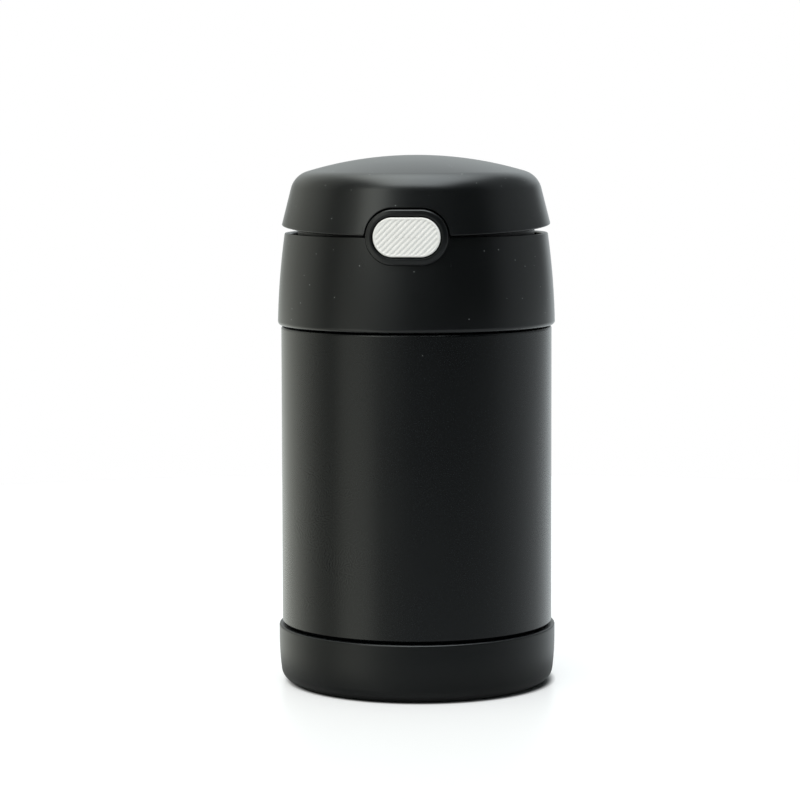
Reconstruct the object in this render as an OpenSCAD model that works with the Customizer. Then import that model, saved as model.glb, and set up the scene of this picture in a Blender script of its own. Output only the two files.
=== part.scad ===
// Vacuum-insulated food jar with a push-button flip cap and a folding spoon in the lid.
// Frame: origin at the centre of the base on the table, +Z up, button at -Y, cap hinge at +Y.

/* [Vessel] */
// Outer diameter of the coated body
body_d = 89.8; // [88.6:0.2:91]
// Height of the body's shoulder above the table
shoulder_z = 118.3; // [100:0.1:160]
// Radius of the shoulder's outer edge
shoulder_round = 0.8; // [0.7:0.1:3]
// Thickness of the outer steel shell
shell_wall = 0.6; // [0.4:0.1:0.8]
// Thickness of the steel liner
liner_wall = 0.5; // [0.4:0.1:0.8]
// Width of the vacuum between shell and liner
vacuum_gap = 4.8; // [4:0.2:5.4]
// Height of the liner's floor above the table
liner_floor_z = 14; // [12:0.5:17]
// Radius of the liner's bottom corner
liner_corner = 8; // [4:1:12]
// Width of the shoulder between body and neck
shoulder_w = 6.8; // [6.4:0.1:7.2]
// Height of the collar's top edge above the vessel's rim
lid_room = 11.2; // [10.8:0.1:12.4]
// Space between neck and throat, inside the double wall
throat_gap = 1.3; // [1:0.1:2]

/* [Thread] */
// Starts of the screw thread
thread_starts = 2; // [1:1:3]
// Rise of the thread in one turn
thread_lead = 8; // [7:0.5:9]
// Height of the thread ridge above the neck
ridge_h = 1.1; // [0.8:0.1:1.3]
// Width of the ridge at its root
ridge_root = 2.2; // [1.6:0.1:2.4]
// Width of the ridge at its crest
ridge_crest = 1; // [0.6:0.1:1.2]
// Turns of each ridge on the neck
neck_turns = 1; // [0.75:0.05:1.1]
// Turns of each ridge in the lid
lid_turns = 0.6; // [0.4:0.05:0.8]
// Clearance between crest and root of the mating thread
thread_clear = 0.35; // [0.3:0.05:0.5]

/* [Base cup] */
// How far the base cup stands out beyond the body
cup_stand = 1.1; // [0.8:0.1:2.4]
// Height of the base cup
cup_h = 19; // [15:0.5:24]
// Radius of the cup's bottom edge
cup_corner = 4.5; // [3:0.5:6]
// Radius of the cup's lip
cup_lip = 0.8; // [0.4:0.1:1]
// Thickness of the cup's floor
cup_floor = 2.4; // [1.8:0.2:3.4]
// Depth of the recess under the cup
cup_recess = 1.2; // [0.6:0.2:1.6]
// Width of the ring that the jar stands on
foot_ring_w = 6; // [4:0.5:9]
// Depth of the step that takes the cup into the shell
foot_step = 1.2; // [0.8:0.1:1.6]
// Gap between cup and shell
cup_clear = 0.15; // [0.05:0.05:0.3]

/* [Collar] */
// How far the collar's foot stands out beyond the body
collar_stand = 1.1; // [0.8:0.05:1.5]
// How far the collar's top edge lies inside its foot
collar_taper = 2.4; // [2:0.05:2.75]
// Height of the collar
collar_h = 30.5; // [30:0.5:36]
// Radius of the collar's bulge, seen from the side
collar_bulge = 250; // [150:10:400]
// Wall of the collar
collar_wall = 2; // [1.6:0.1:2.2]
// Radius of the collar's bottom edge
collar_round = 1.2; // [0.6:0.1:1.6]
// Parting gap between body and collar
collar_gap = 0.4; // [0.3:0.1:1]
// Number of ribs between collar and stopper
collar_ribs = 16; // [8:1:24]

/* [Stopper] */
// Wall of the threaded skirt
skirt_wall = 2.4; // [2:0.1:2.6]
// Clearance between the plug and the throat
plug_clear = 0.8; // [0.5:0.1:1.2]
// Wall of the plug
plug_wall = 1.6; // [1.2:0.1:2]
// Depth of the plug below the rim
plug_depth = 17; // [15:0.5:19]
// Thickness of the stopper's top plate
plate_t = 2; // [1.6:0.1:3]
// Thickness of the gasket
gasket_h = 1.4; // [1:0.1:2]
// Thickness of the disc that closes the plug
plug_disc_t = 2; // [1.5:0.1:3]

/* [Tray] */
// Distance of the tray's wall inside the collar's top edge
tray_inset = 4.35; // [3.85:0.05:4.85]
// Height of the tray's wall above the collar's top edge
tray_rise = 7.6; // [6:0.2:8.4]
// Wall and floor of the tray
tray_wall = 1.5; // [1.2:0.1:1.8]

/* [Cap] */
// How far the cap's side stands out beyond the collar at the height of the collar's top edge
cap_stand = 1.6; // [1.3:0.05:1.9]
// Slope of the cap's side from the vertical
cap_draft = 14.2; // [11:0.2:15]
// Height of the dome's crown above the collar's top edge
cap_h = 25.6; // [24:0.2:30]
// Radius of the dome
dome_r = 125; // [110:5:160]
// Radius of the cap's shoulder
cap_round = 8; // [6:0.5:10]
// Wall of the cap
cap_wall = 1.8; // [1.4:0.1:2.2]
// Parting gap under the cap's rim at the front
rim_gap_front = 0.4; // [0.3:0.1:1]
// Parting gap under the cap's rim at the back
rim_gap_back = 5.3; // [5.2:0.1:6]
// Thickness of the cap's inner cover
cover_t = 1.3; // [1:0.1:1.8]

/* [Button] */
// Width of the button
button_w = 21.5; // [20:0.5:24]
// Height of the button
button_h = 12.6; // [11.6:0.2:13.4]
// Width of the surround's frame around the button
bezel_frame = 2.4; // [2.2:0.1:2.8]
// Stand of the surround's face beyond the collar's top edge
bezel_stand = 2.35; // [1.8:0.05:2.5]
// Gap between the cap and the surround
notch_gap = 0.5; // [0.4:0.1:1]
// Gap between the button and the surround
button_clear = 0.45; // [0.2:0.05:0.5]
// Travel of the button
button_travel = 2; // [1.5:0.1:2.2]
// Pitch of the grip ribs on the button's face
rib_pitch = 1.42; // [1.2:0.02:2]
// Depth of the grooves between the ribs
rib_depth = 0.35; // [0.2:0.05:0.5]
// Plain border around the ribs
rib_border = 0.7; // [0.5:0.1:1.2]

/* [Hinge] */
// Diameter of the hinge barrel
barrel_d = 5.6; // [5:0.1:5.8]
// Diameter of the hinge pin
hinge_pin_d = 2.4; // [2:0.1:2.8]
// Length of the hinge barrel
hinge_w = 24; // [22:0.5:30]
// Width of each ear
ear_w = 4; // [3:0.5:5]
// Width of each knuckle on the cap
knuckle_w = 4; // [3:0.5:5]
// Gap beside and around the turning knuckles
hinge_gap = 0.4; // [0.3:0.05:0.6]
// Radial clearance of a pin in its running bore
pin_clear = 0.04; // [0.02:0.01:0.08]
// Wire diameter of the cap spring
hinge_wire = 0.6; // [0.5:0.05:0.7]

/* [Spoon] */
// Space between the folded spoon's ends and the tray's wall
spoon_gap = 4; // [3:0.5:7]
// Width of the bowl
bowl_w = 29; // [24:1:32]
// Length of the bowl
bowl_len = 43; // [38:1:46]
// Depth of the bowl
bowl_depth = 6.4; // [5.6:0.2:7]
// Thickness of the spoon's steel
spoon_t = 0.9; // [0.7:0.1:1.2]
// Width of the handle
handle_w = 11; // [9:0.5:14]
// Diameter of the spoon's pin
spoon_pin_d = 2; // [1.6:0.1:2.4]

/* [Hidden] */
$fn = 144;
seat = 0.05;   // gap between flat faces that seat on each other
over = 1;      // how far a cutting shape runs past what it cuts
big = 200;     // size of a half-space block

// Vessel
body_r = body_d / 2;
foot_r = body_r - foot_step;
neck_r = body_r - shoulder_w;
rim_z = shoulder_z + collar_gap + collar_h - lid_room;
neck_fillet = 1.5;
liner_r = body_r - shell_wall - vacuum_gap;
throat_out_r = neck_r - shell_wall - throat_gap;
throat_r = throat_out_r - liner_wall;
liner_slope_h = 8;   // height of the liner's taper into the throat
rim_weld_h = 0.8;    // height of the welded lip
step_z = cup_h + 0.6;
foot_z = cup_floor + cup_clear;
disc_t = shell_wall;
disc_lift = 2;       // height of the shell's disc above the foot's edge
disc_z = foot_z + disc_lift;
pump_hole_r = 1;
dimple_r = 6;
dimple_h = 1.6;
pellet_r = 3;
pellet_t = 1;
getter_r = 5;
getter_t = 1.2;

// Thread: a ridge in the lid lies midway between two ridges on the neck
ridge_pitch = thread_lead / thread_starts;
thread_steps = 36;
thread_rise = 6;     // height of the neck thread's start above the shoulder
skirt_rise = 3.5;    // height of the skirt's lower edge above the shoulder
neck_thread_z = shoulder_z + thread_rise;
lid_thread_angle = 150;
lid_thread_z = neck_thread_z + thread_lead * lid_thread_angle / 360 - ridge_pitch / 2 + 0.1;
skirt_r = neck_r + ridge_h + thread_clear;
skirt_out_r = skirt_r + skirt_wall;
ridge_sink = 0.3;    // depth of a ridge's root in its wall

// Cup
cup_r = body_r + cup_stand;
cup_in_r = foot_r + cup_clear;
cup_flat_r = cup_r - cup_corner;

// Collar
collar_z = shoulder_z + collar_gap;
collar_top_z = collar_z + collar_h;
collar_foot_r = body_r + collar_stand;
collar_top_r = collar_foot_r - collar_taper;

// Stopper, gasket and what fills the plug
plate_z = rim_z + gasket_h + 2 * seat;
plate_top_z = plate_z + plate_t;
skirt_z = shoulder_z + skirt_rise;
plug_r = throat_r - plug_clear;
plug_z = rim_z - plug_depth;
foam_r = plug_r - plug_wall - seat;
disc_lip_h = 2.5;
disc_lip_t = 1.2;

// Tray
tray_r = collar_top_r - tray_inset;
tray_in_r = tray_r - tray_wall;
tray_z = plate_top_z + seat;
tray_floor_z = tray_z + tray_wall;
tray_top_z = collar_top_z + tray_rise;
ledge_z = tray_z;
ledge_top_z = ledge_z + tray_wall;
ledge_r = tray_r + 0.4;

// Cap: a cone with a spherical crown, the two joined by a round shoulder
cap_foot_r = collar_top_r + cap_stand;
cap_top_z = collar_top_z + cap_h;
dome_z = cap_top_z - dome_r;
cap_lift = rim_gap_back - rim_gap_front;
rim_tilt = atan(cap_lift / (2 * cap_foot_r));
cover_gap = 0.1;
cover_z = max(tray_top_z + 1.4, collar_top_z + button_h / 2 + bezel_frame + 0.5);

// Hinge
barrel_r = barrel_d / 2;
pin_r = hinge_pin_d / 2;
hinge_y = collar_top_r - 0.85;
hinge_z = collar_top_z + 2.3;
knuckle_x = hinge_w / 2 - ear_w - hinge_gap - knuckle_w;
turn_r = barrel_r + hinge_gap;

// Button and latch, with y counted from the surround's face
button_z = collar_top_z;
bezel_w = button_w + 2 * bezel_frame;
bezel_h = button_h + 2 * bezel_frame;
bezel_y = -(collar_top_r + bezel_stand);
bezel_skin = 1.6;    // thickness of the surround's front wall
bezel_side = 1.1;    // thickness of its side walls
button_proud = 0.15; // stand of the button beyond the surround
flange_t = 1;
flange_lip = 1.2;    // how far the button's flange reaches behind the surround
button_back_y = bezel_y + bezel_skin + seat + flange_t;
slider_w = 16;
slider_t = 1.5;
slider_h = 7;
arm_w = 2;
arm_h = 2.8;
slider_z = button_z - 4.2;
hook_y = -tray_in_r + 0.6;  // front face of the hook
hook_t = 1.4;
hook_w = 9;
lip_reach = 1.2;
lip_h = 1.3;
lip_z = button_z - 0.6;
latch_gap = 0.3;
nose_y = hook_y + hook_t + lip_reach + latch_gap;
nose_t = 1.3;
nose_w = 10;
nose_h = 1.8;
upright_y = nose_y + nose_t;
spring_y = upright_y + slider_t;
spring_room = 4;
pocket_y = spring_y + spring_room;
pocket_w = slider_w + 1.2;
spring_wire = 0.4;
spring_r = 1.9;

// Spoon, folded, lying across the tray
spoon_y = 5;
spoon_len = 2 * (tray_in_r - spoon_gap);
bowl_z = tray_floor_z + 0.15;
bowl_x = -spoon_len / 2 + bowl_len / 2;
bowl_round = (pow(bowl_w / 2, 2) + pow(bowl_depth, 2)) / (2 * bowl_depth);
bowl_rim_z = bowl_z + bowl_depth;
spoon_pin_r = spoon_pin_d / 2;
spoon_barrel_r = spoon_pin_r + 1.2;
spoon_pin_x = spoon_len / 2 - spoon_barrel_r;
spoon_pin_z = bowl_rim_z + 1;
stem_w = 7;
stem_lap = 2;        // how far the stem runs into the bowl
spoon_knuckle = 3.4;
fork_clear = 0.2;    // gap between the knuckle and each side of the fork
eyelet_r = 2;        // hole in the handle's end
eyelet_in = 1;       // place of the hole, inwards of the end's centre
handle_z = spoon_pin_z + spoon_barrel_r - spoon_t;

// ---- helpers ----

// Points of an arc around (x, z), from angle a to angle b
function arc(x, z, r, a, b, n = 8) =
    [for (i = [0:n]) [x + r * cos(a + (b - a) * i / n), z + r * sin(a + (b - a) * i / n)]];

// Centre of the circle of radius r through (xa, za) and (xb, zb), on the axis side of them
function arc_centre(xa, za, xb, zb, r) =
    let (
        half = norm([xb - xa, zb - za]) / 2,
        reach = sqrt(r * r - half * half),
        along = [xb - xa, zb - za] / (2 * half)
    )
    [(xa + xb) / 2 - reach * along[1], (za + zb) / 2 + reach * along[0]];

// Solid of revolution of a closed outline
module turned(points) {
    rotate_extrude() polygon(points);
}

module ring(r_out, r_in, z0, z1) {
    translate([0, 0, z0]) difference() {
        cylinder(r = r_out, h = z1 - z0);
        translate([0, 0, -over]) cylinder(r = r_in, h = z1 - z0 + 2 * over);
    }
}

// Upright slot shape, w wide and h high, from y0 to y1
module obround(w, h, y0, y1, z) {
    translate([0, y1, z]) rotate([90, 0, 0]) linear_extrude(y1 - y0) obround_2d(w, h);
}

module obround_2d(w, h) {
    square([w - h, h], center = true);
    for (s = [-1, 1]) translate([s * (w - h) / 2, 0]) circle(d = h);
}

// Cylinder along X from x0 to x1
module rod_x(r, x0, x1, y, z) {
    translate([x0, y, z]) rotate([0, 90, 0]) cylinder(r = r, h = x1 - x0);
}

// Cylinder along Y from y0 to y1
module rod_y(r, x, y0, y1, z) {
    translate([x, y1, z]) rotate([90, 0, 0]) cylinder(r = r, h = y1 - y0);
}

// Block between two corners
module block(a, b) {
    translate(a) cube(b - a);
}

// One ridge per start: side 1 stands out of a wall of radius wall_r, side -1 stands inwards
module thread(wall_r, side, z, turns) {
    steps = ceil(turns * thread_steps);
    for (s = [0:thread_starts - 1])
        rotate([0, 0, s * 360 / thread_starts]) thread_ridge(wall_r, side, z, turns, steps);
}

module thread_ridge(wall_r, side, z, turns, steps) {
    slope = (ridge_root - ridge_crest) / 2 / ridge_h;
    root = ridge_root / 2 + slope * ridge_sink;
    crest = ridge_crest / 2;
    section = [
        [-side * ridge_sink, -root], [side * ridge_h, -crest],
        [side * ridge_h, crest], [-side * ridge_sink, root]
    ];
    // the ridge grows out of its wall over the first and last steps
    fade = [for (i = [0:steps]) min(1, 0.12 + min(i, steps - i) / 3)];
    points = [
        for (i = [0:steps], p = section)
            let (
                a = 360 * turns * i / steps,
                r = wall_r + (p[0] * side > 0 ? p[0] * fade[i] : p[0])
            )
            [r * cos(a), r * sin(a), z + thread_lead * turns * i / steps + p[1] * fade[i]]
    ];
    swept(points, 4, steps + 1, side < 0);
}

// Closed skin over rings of k points each, which run left-handed along the way from ring to ring
module swept(points, k, rings, flip = false) {
    sides = [
        for (i = [0:rings - 2], j = [0:k - 1])
            let (n = (j + 1) % k, a = k * i + j, b = k * i + n, c = b + k, d = a + k)
            each [[a, b, c], [a, c, d]]
    ];
    ends = [
        [for (j = [0:k - 1]) k - 1 - j],
        [for (j = [0:k - 1]) k * (rings - 1) + j]
    ];
    faces = concat(sides, ends);
    back_faces = [for (f = faces) [for (j = [len(f) - 1:-1:0]) f[j]]];
    polyhedron(points, flip ? back_faces : faces);
}

// Round wire of diameter d along a path
module wire(path, d) {
    k = 6;
    n = len(path);
    points = [
        for (i = [0:n - 1])
            let (
                ahead = path[min(i + 1, n - 1)] - path[max(i - 1, 0)],
                t = ahead / norm(ahead),
                side = cross(t, abs(t[0]) < 0.9 ? [1, 0, 0] : [0, 1, 0]),
                u = side / norm(side),
                v = cross(t, u)
            )
            for (j = [0:k - 1]) path[i] + d / 2 * (cos(360 * j / k) * u + sin(360 * j / k) * v)
    ];
    swept(points, k, n, true);
}

// Radius of the collar's outer face at height z, moved inwards by inset
function collar_r(z, inset = 0) =
    let (
        c = arc_centre(
            collar_foot_r, collar_z + collar_round, collar_top_r, collar_top_z, collar_bulge
        )
    )
    c[0] + sqrt(pow(collar_bulge - inset, 2) - pow(z - c[1], 2));

// Outline of the closed cap form, moved inwards by inset, down to height z
function cap_outline(inset, z) =
    let (
        fit = dome_r - cap_round,
        side = cap_foot_r * cos(cap_draft) + (collar_top_z - dome_z) * sin(cap_draft),
        t = asin((side - cap_round) / fit) - cap_draft
    )
    concat(
        [[0, z], [cap_foot_r - (z - collar_top_z) * tan(cap_draft) - inset / cos(cap_draft), z]],
        arc(fit * sin(t), dome_z + fit * cos(t), cap_round - inset, cap_draft, 90 - t, 10),
        arc(0, dome_z, dome_r - inset, 90 - t, 90, 12)
    );

// ---- vessel ----

module outer_shell() {
    w = shell_wall;
    r = shoulder_round;
    f = neck_fillet;
    bend = 0.6;
    color([0.05, 0.05, 0.055]) union() {
        turned(concat(
            [[foot_r, foot_z], [foot_r, step_z - bend], [body_r, step_z + bend]],
            arc(body_r - r, shoulder_z - r, r, 0, 90),
            arc(neck_r + f, shoulder_z + f, f, 270, 180, 5),
            [[neck_r, rim_z], [neck_r - w, rim_z]],
            arc(neck_r + f, shoulder_z + f, f + w, 180, 270, 5),
            arc(body_r - r, shoulder_z - r, r - w, 90, 0),
            [[body_r - w, step_z + bend + w / 2], [foot_r - w, step_z - bend + w / 2]],
            [[foot_r - w, foot_z]]
        ));
        thread(neck_r, 1, neck_thread_z, neck_turns);
    }
}

module inner_liner() {
    w = liner_wall;
    r = liner_corner;
    corner_x = liner_r - w - r;
    corner_z = liner_floor_z + r;
    lip_z = rim_z - rim_weld_h;
    color([0.75, 0.75, 0.76]) turned(concat(
        [[0, liner_floor_z - w]],
        arc(corner_x, corner_z, r + w, 270, 360),
        [[liner_r, shoulder_z - liner_slope_h], [throat_out_r, shoulder_z]],
        [[throat_out_r, lip_z], [neck_r - shell_wall - seat, lip_z]],
        [[neck_r - shell_wall - seat, rim_z], [throat_r, rim_z], [throat_r, shoulder_z]],
        [[liner_r - w, shoulder_z - liner_slope_h]],
        arc(corner_x, corner_z, r, 360, 270),
        [[0, liner_floor_z]]
    ));
}

module shell_base() {
    r = foot_r - shell_wall - seat;
    t = disc_t;
    hole = pump_hole_r;
    roof = disc_z + dimple_h;
    color([0.6, 0.6, 0.61]) turned([
        [hole, roof + t], [dimple_r + t, roof + t], [dimple_r + t, disc_z + t], [r, disc_z + t],
        [r, foot_z], [r - t, foot_z], [r - t, disc_z], [dimple_r, disc_z],
        [dimple_r, roof], [hole, roof],
    ]);
}

module vacuum_seal() {
    roof = disc_z + dimple_h;
    color([0.55, 0.5, 0.42]) union() {
        translate([0, 0, roof - seat - pellet_t]) cylinder(r = pellet_r, h = pellet_t);
        translate([0, 0, roof - pellet_t])
            cylinder(r = pump_hole_r - seat, h = pellet_t + disc_t);
    }
}

module getter() {
    color([0.35, 0.35, 0.36])
        translate([0, 0, liner_floor_z - liner_wall - seat - getter_t])
            cylinder(r = getter_r, h = getter_t);
}

module base_cup() {
    taper = 0.2;
    low_r = cup_r - taper;
    ring_r = cup_flat_r - taper - foot_ring_w;
    color([0.06, 0.06, 0.065]) turned(concat(
        [[0, cup_recess], [ring_r - cup_recess, cup_recess], [ring_r, 0]],
        arc(low_r - cup_corner, cup_corner, cup_corner, 270, 360),
        arc(cup_r - cup_lip, cup_h - cup_lip, cup_lip, 0, 90, 5),
        [[cup_in_r, cup_h], [cup_in_r, cup_floor], [0, cup_floor]]
    ));
}

// ---- lid ----

module lid_gasket() {
    color([0.75, 0.75, 0.72])
        ring(neck_r + 0.4, plug_r + 0.25, rim_z + seat, rim_z + seat + gasket_h);
}

module stopper() {
    color([0.1, 0.1, 0.105]) union() {
        translate([0, 0, plate_z]) cylinder(r = skirt_out_r, h = plate_t);
        ring(skirt_out_r, skirt_r, skirt_z, plate_z + plate_t / 2);
        ring(plug_r, plug_r - plug_wall, plug_z, plate_z + plate_t / 2);
        rotate([0, 0, lid_thread_angle]) thread(skirt_r, -1, lid_thread_z, lid_turns);
    }
}

module stopper_foam() {
    color([0.93, 0.92, 0.88]) translate([0, 0, plug_z + seat])
        cylinder(r = foam_r - disc_lip_t - seat, h = plate_z - plug_z - 2 * seat);
}

module stopper_base() {
    color([0.8, 0.8, 0.8]) union() {
        translate([0, 0, plug_z - seat - plug_disc_t]) cylinder(r = plug_r, h = plug_disc_t);
        ring(foam_r, foam_r - disc_lip_t, plug_z - seat - plug_disc_t / 2, plug_z + disc_lip_h);
    }
}

module lid_collar() {
    lip = 0.5;
    steps = 10;
    foot_z0 = collar_z + collar_round;
    outer = [
        for (i = [0:steps])
            let (z = foot_z0 + (collar_top_z - lip - foot_z0) * i / steps) [collar_r(z), z]
    ];
    inner = [
        for (i = [steps:-1:0])
            let (z = collar_z + collar_h * i / steps) [collar_r(z, collar_wall), z]
    ];
    ear_x = hinge_w / 2 - ear_w;
    color([0.06, 0.06, 0.065]) difference() {
        union() {
            turned(concat(
                arc(collar_foot_r - collar_round, foot_z0, collar_round, 270, 350, 6),
                outer,
                arc(collar_r(collar_top_z - lip) - lip, collar_top_z - lip, lip, 20, 90, 4),
                inner
            ));
            ring(collar_r(ledge_z, collar_wall / 2), ledge_r, ledge_z, ledge_top_z);
            for (i = [0:collar_ribs - 1])
                rotate([0, 0, 360 * (i + 0.5) / collar_ribs]) collar_rib();
            for (s = [-1, 1]) ear(s * (ear_x + ear_w / 2));
        }
        obround(bezel_w + 2 * seat, bezel_h + 2 * seat, bezel_y - over, -tray_r + 5, button_z);
        rod_x(turn_r, -ear_x, ear_x, hinge_y, hinge_z);
        rod_x(pin_r + pin_clear, -hinge_w, hinge_w, hinge_y, hinge_z);
    }
}

// Rib from the stopper's skirt to the collar's wall
module collar_rib() {
    rib_t = 1.2;
    inside = skirt_out_r + seat;
    z0 = skirt_z + 1;
    reach = collar_r(ledge_z, collar_wall / 2);
    block([inside, -rib_t / 2, z0], [reach, rib_t / 2, ledge_z + seat]);
}

// Hinge ear on the collar, centred on x
module ear(x) {
    y = -hinge_y;
    top = collar_top_z;
    root_h = 8;       // depth of the ear's root below the collar's top edge
    knee = [1, 4];    // bend of its inner edge, inwards of the axis and below that edge
    translate([x + ear_w / 2, 0, 0]) rotate([90, 0, -90]) linear_extrude(ear_w) union() {
        translate([y, hinge_z]) circle(r = barrel_r);
        polygon([
            [y + barrel_r, hinge_z], [y + barrel_r, top - collar_wall / 4],
            [y + knee[0], top - knee[1]], [y, top - root_h], [y - barrel_r, hinge_z],
        ]);
    }
}

module spoon_tray() {
    flange_z = ledge_top_z + seat;
    flange_h = 1.2;
    edge = 0.5;
    window_w = slider_w + 1.2;
    color([0.09, 0.09, 0.095]) union() {
        difference() {
            turned(concat(
                [[0, tray_z], [tray_r, tray_z]],
                arc(tray_r - edge, tray_top_z - edge, edge, 0, 90, 4),
                arc(tray_in_r + edge, tray_top_z - edge, edge, 90, 180, 4),
                [[tray_in_r, tray_floor_z], [0, tray_floor_z]]
            ));
            block(
                [-window_w / 2, -tray_r - over, slider_z - 0.3],
                [window_w / 2, -tray_in_r + 3, slider_z + arm_h + 0.4]
            );
        }
        difference() {
            ring(
                collar_r(flange_z + flange_h, collar_wall + seat), tray_r - edge,
                flange_z, flange_z + flange_h
            );
            obround(bezel_w + 2 * seat, bezel_h + 2 * seat, bezel_y, -tray_r + 5, button_z);
        }
        latch_pocket();
        spoon_rests();
    }
}

// Walls and rails in the tray that guide the latch slider and back its spring
module latch_pocket() {
    t = 1.2;
    z0 = tray_floor_z - seat;
    z1 = slider_z + slider_h + 0.6;
    front = -tray_in_r + 1.5;
    for (s = [0, 1]) mirror([s, 0, 0]) {
        block([pocket_w / 2, front, z0], [pocket_w / 2 + t, pocket_y + t, z1]);
        block(
            [slider_w / 2 - arm_w, front, z0], [slider_w / 2, pocket_y + t / 2, slider_z - 0.2]
        );
    }
    block([-pocket_w / 2 - t, pocket_y, z0], [pocket_w / 2 + t, pocket_y + t, z1]);
    rod_y(
        spring_r - spring_wire / 2 - 0.2, 0, pocket_y - (spring_room - button_travel) + 0.4,
        pocket_y + t / 2, slider_z + slider_h / 2
    );
}

// Ribs beside the bowl and a post under the spoon's pin
module spoon_rests() {
    rib_t = 1.2;
    rib_l = 12;
    post_t = 3;
    post_w = 6;
    beside = bowl_w / 2 + 1;
    z0 = tray_floor_z - seat;
    for (s = [-1, 1])
        block(
            [bowl_x - rib_l / 2, spoon_y + s * beside - rib_t / 2, z0],
            [bowl_x + rib_l / 2, spoon_y + s * beside + rib_t / 2, bowl_rim_z - 1]
        );
    block(
        [spoon_pin_x - post_t / 2, spoon_y - post_w / 2, z0],
        [spoon_pin_x + post_t / 2, spoon_y + post_w / 2, spoon_pin_z - spoon_barrel_r - fork_clear]
    );
}

module button_bezel() {
    color([0.05, 0.05, 0.055]) difference() {
        obround(bezel_w, bezel_h, bezel_y, -tray_r + 4, button_z);
        obround(
            button_w + 2 * button_clear, button_h + 2 * button_clear,
            bezel_y - over, bezel_y + bezel_skin + over, button_z
        );
        obround(
            bezel_w - 2 * bezel_side, bezel_h - 2 * bezel_side,
            bezel_y + bezel_skin, 0, button_z
        );
        translate([0, 0, shoulder_z]) cylinder(r = tray_r + seat, h = big);
        cylinder(r = skirt_out_r + 3 * seat, h = tray_z);
    }
}

module hinge_pin() {
    color([0.7, 0.7, 0.7]) rod_x(pin_r, -hinge_w / 2, hinge_w / 2, hinge_y, hinge_z);
}

module hinge_spring() {
    r = pin_r + 0.25 + hinge_wire / 2;
    half = knuckle_x - hinge_gap - hinge_wire / 2;
    turns = 4;
    steps = 14;
    n = turns * steps;
    leg = hinge_y - r;
    coil = [
        for (i = [0:n])
            let (a = 180 - 360 * i / steps)
            [-half + 2 * half * i / n, hinge_y + r * cos(a), hinge_z + r * sin(a)]
    ];
    // the first leg reaches down inside the collar, the second up inside the cap
    path = concat(
        [[-half, leg, collar_top_z - 4], [-half, leg, hinge_z - 0.6]],
        coil,
        [[half, leg, hinge_z + 0.6], [half, leg - 0.2, hinge_z + 3], [half, leg - 1, hinge_z + 6]]
    );
    color([0.6, 0.6, 0.62]) wire(path, hinge_wire);
}

module spoon_bowl() {
    k = 32;
    rings = 7;
    low = [for (i = [0:rings]) max(0.04, i / rings)];
    fill = concat(
        [for (t = low) [t, 0]],
        [for (i = [rings:-1:0]) [low[i], spoon_t]]
    );
    points = [
        for (f = fill, j = [0:k - 1])
            let (a = 360 * j / k)
            [
                bowl_x + f[0] * bowl_len / 2 * cos(a),
                spoon_y + f[0] * bowl_w / 2 * sin(a) * (1 - 0.12 * f[0] * cos(a)),
                bowl_z + (bowl_depth - spoon_t) * f[0] * f[0] + f[1]
            ]
    ];
    bowl_end = bowl_x + bowl_len / 2;
    color([0.78, 0.78, 0.79]) difference() {
        union() {
            swept(points, k, len(fill), true);
            block(
                [bowl_end - stem_lap, spoon_y - stem_w / 2, bowl_rim_z - spoon_t],
                [spoon_pin_x, spoon_y + stem_w / 2, bowl_rim_z]
            );
            rod_y(
                spoon_barrel_r, spoon_pin_x,
                spoon_y - spoon_knuckle / 2, spoon_y + spoon_knuckle / 2, spoon_pin_z
            );
        }
        for (s = [-1, 1]) spoon_fork_gap(s);
        spoon_pin_bore();
    }
}

// Room beside the bowl's knuckle for the handle's fork
module spoon_fork_gap(s) {
    y = spoon_y + s * (spoon_knuckle + handle_w) / 2;
    rod_y(
        spoon_barrel_r + 1.5 * fork_clear, spoon_pin_x, y - handle_w / 2, y + handle_w / 2,
        spoon_pin_z
    );
}

module spoon_pin_bore() {
    rod_y(
        spoon_pin_r + pin_clear, spoon_pin_x, spoon_y - handle_w, spoon_y + handle_w, spoon_pin_z
    );
}

module spoon_handle() {
    r = handle_w / 2;
    side = spoon_knuckle / 2 + fork_clear;
    x0 = -spoon_len / 2 + r;
    color([0.78, 0.78, 0.79]) difference() {
        union() {
            translate([0, spoon_y, handle_z]) linear_extrude(spoon_t) union() {
                translate([x0, 0]) circle(r = r);
                translate([x0, -r]) square([spoon_pin_x - x0, handle_w]);
            }
            rod_y(spoon_barrel_r, spoon_pin_x, spoon_y - r, spoon_y + r, spoon_pin_z);
        }
        block(
            [spoon_pin_x - spoon_barrel_r - 2.5 * fork_clear, spoon_y - side, bowl_z],
            [spoon_pin_x + spoon_barrel_r + over, spoon_y + side, handle_z + spoon_t + over]
        );
        spoon_pin_bore();
        translate([x0 + eyelet_in, spoon_y, handle_z - over])
            cylinder(r = eyelet_r, h = spoon_t + 2 * over);
    }
}

module spoon_pin() {
    half = handle_w / 2 - fork_clear;
    color([0.6, 0.6, 0.62])
        rod_y(spoon_pin_r, spoon_pin_x, spoon_y - half, spoon_y + half, spoon_pin_z);
}

// ---- cap ----

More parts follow.
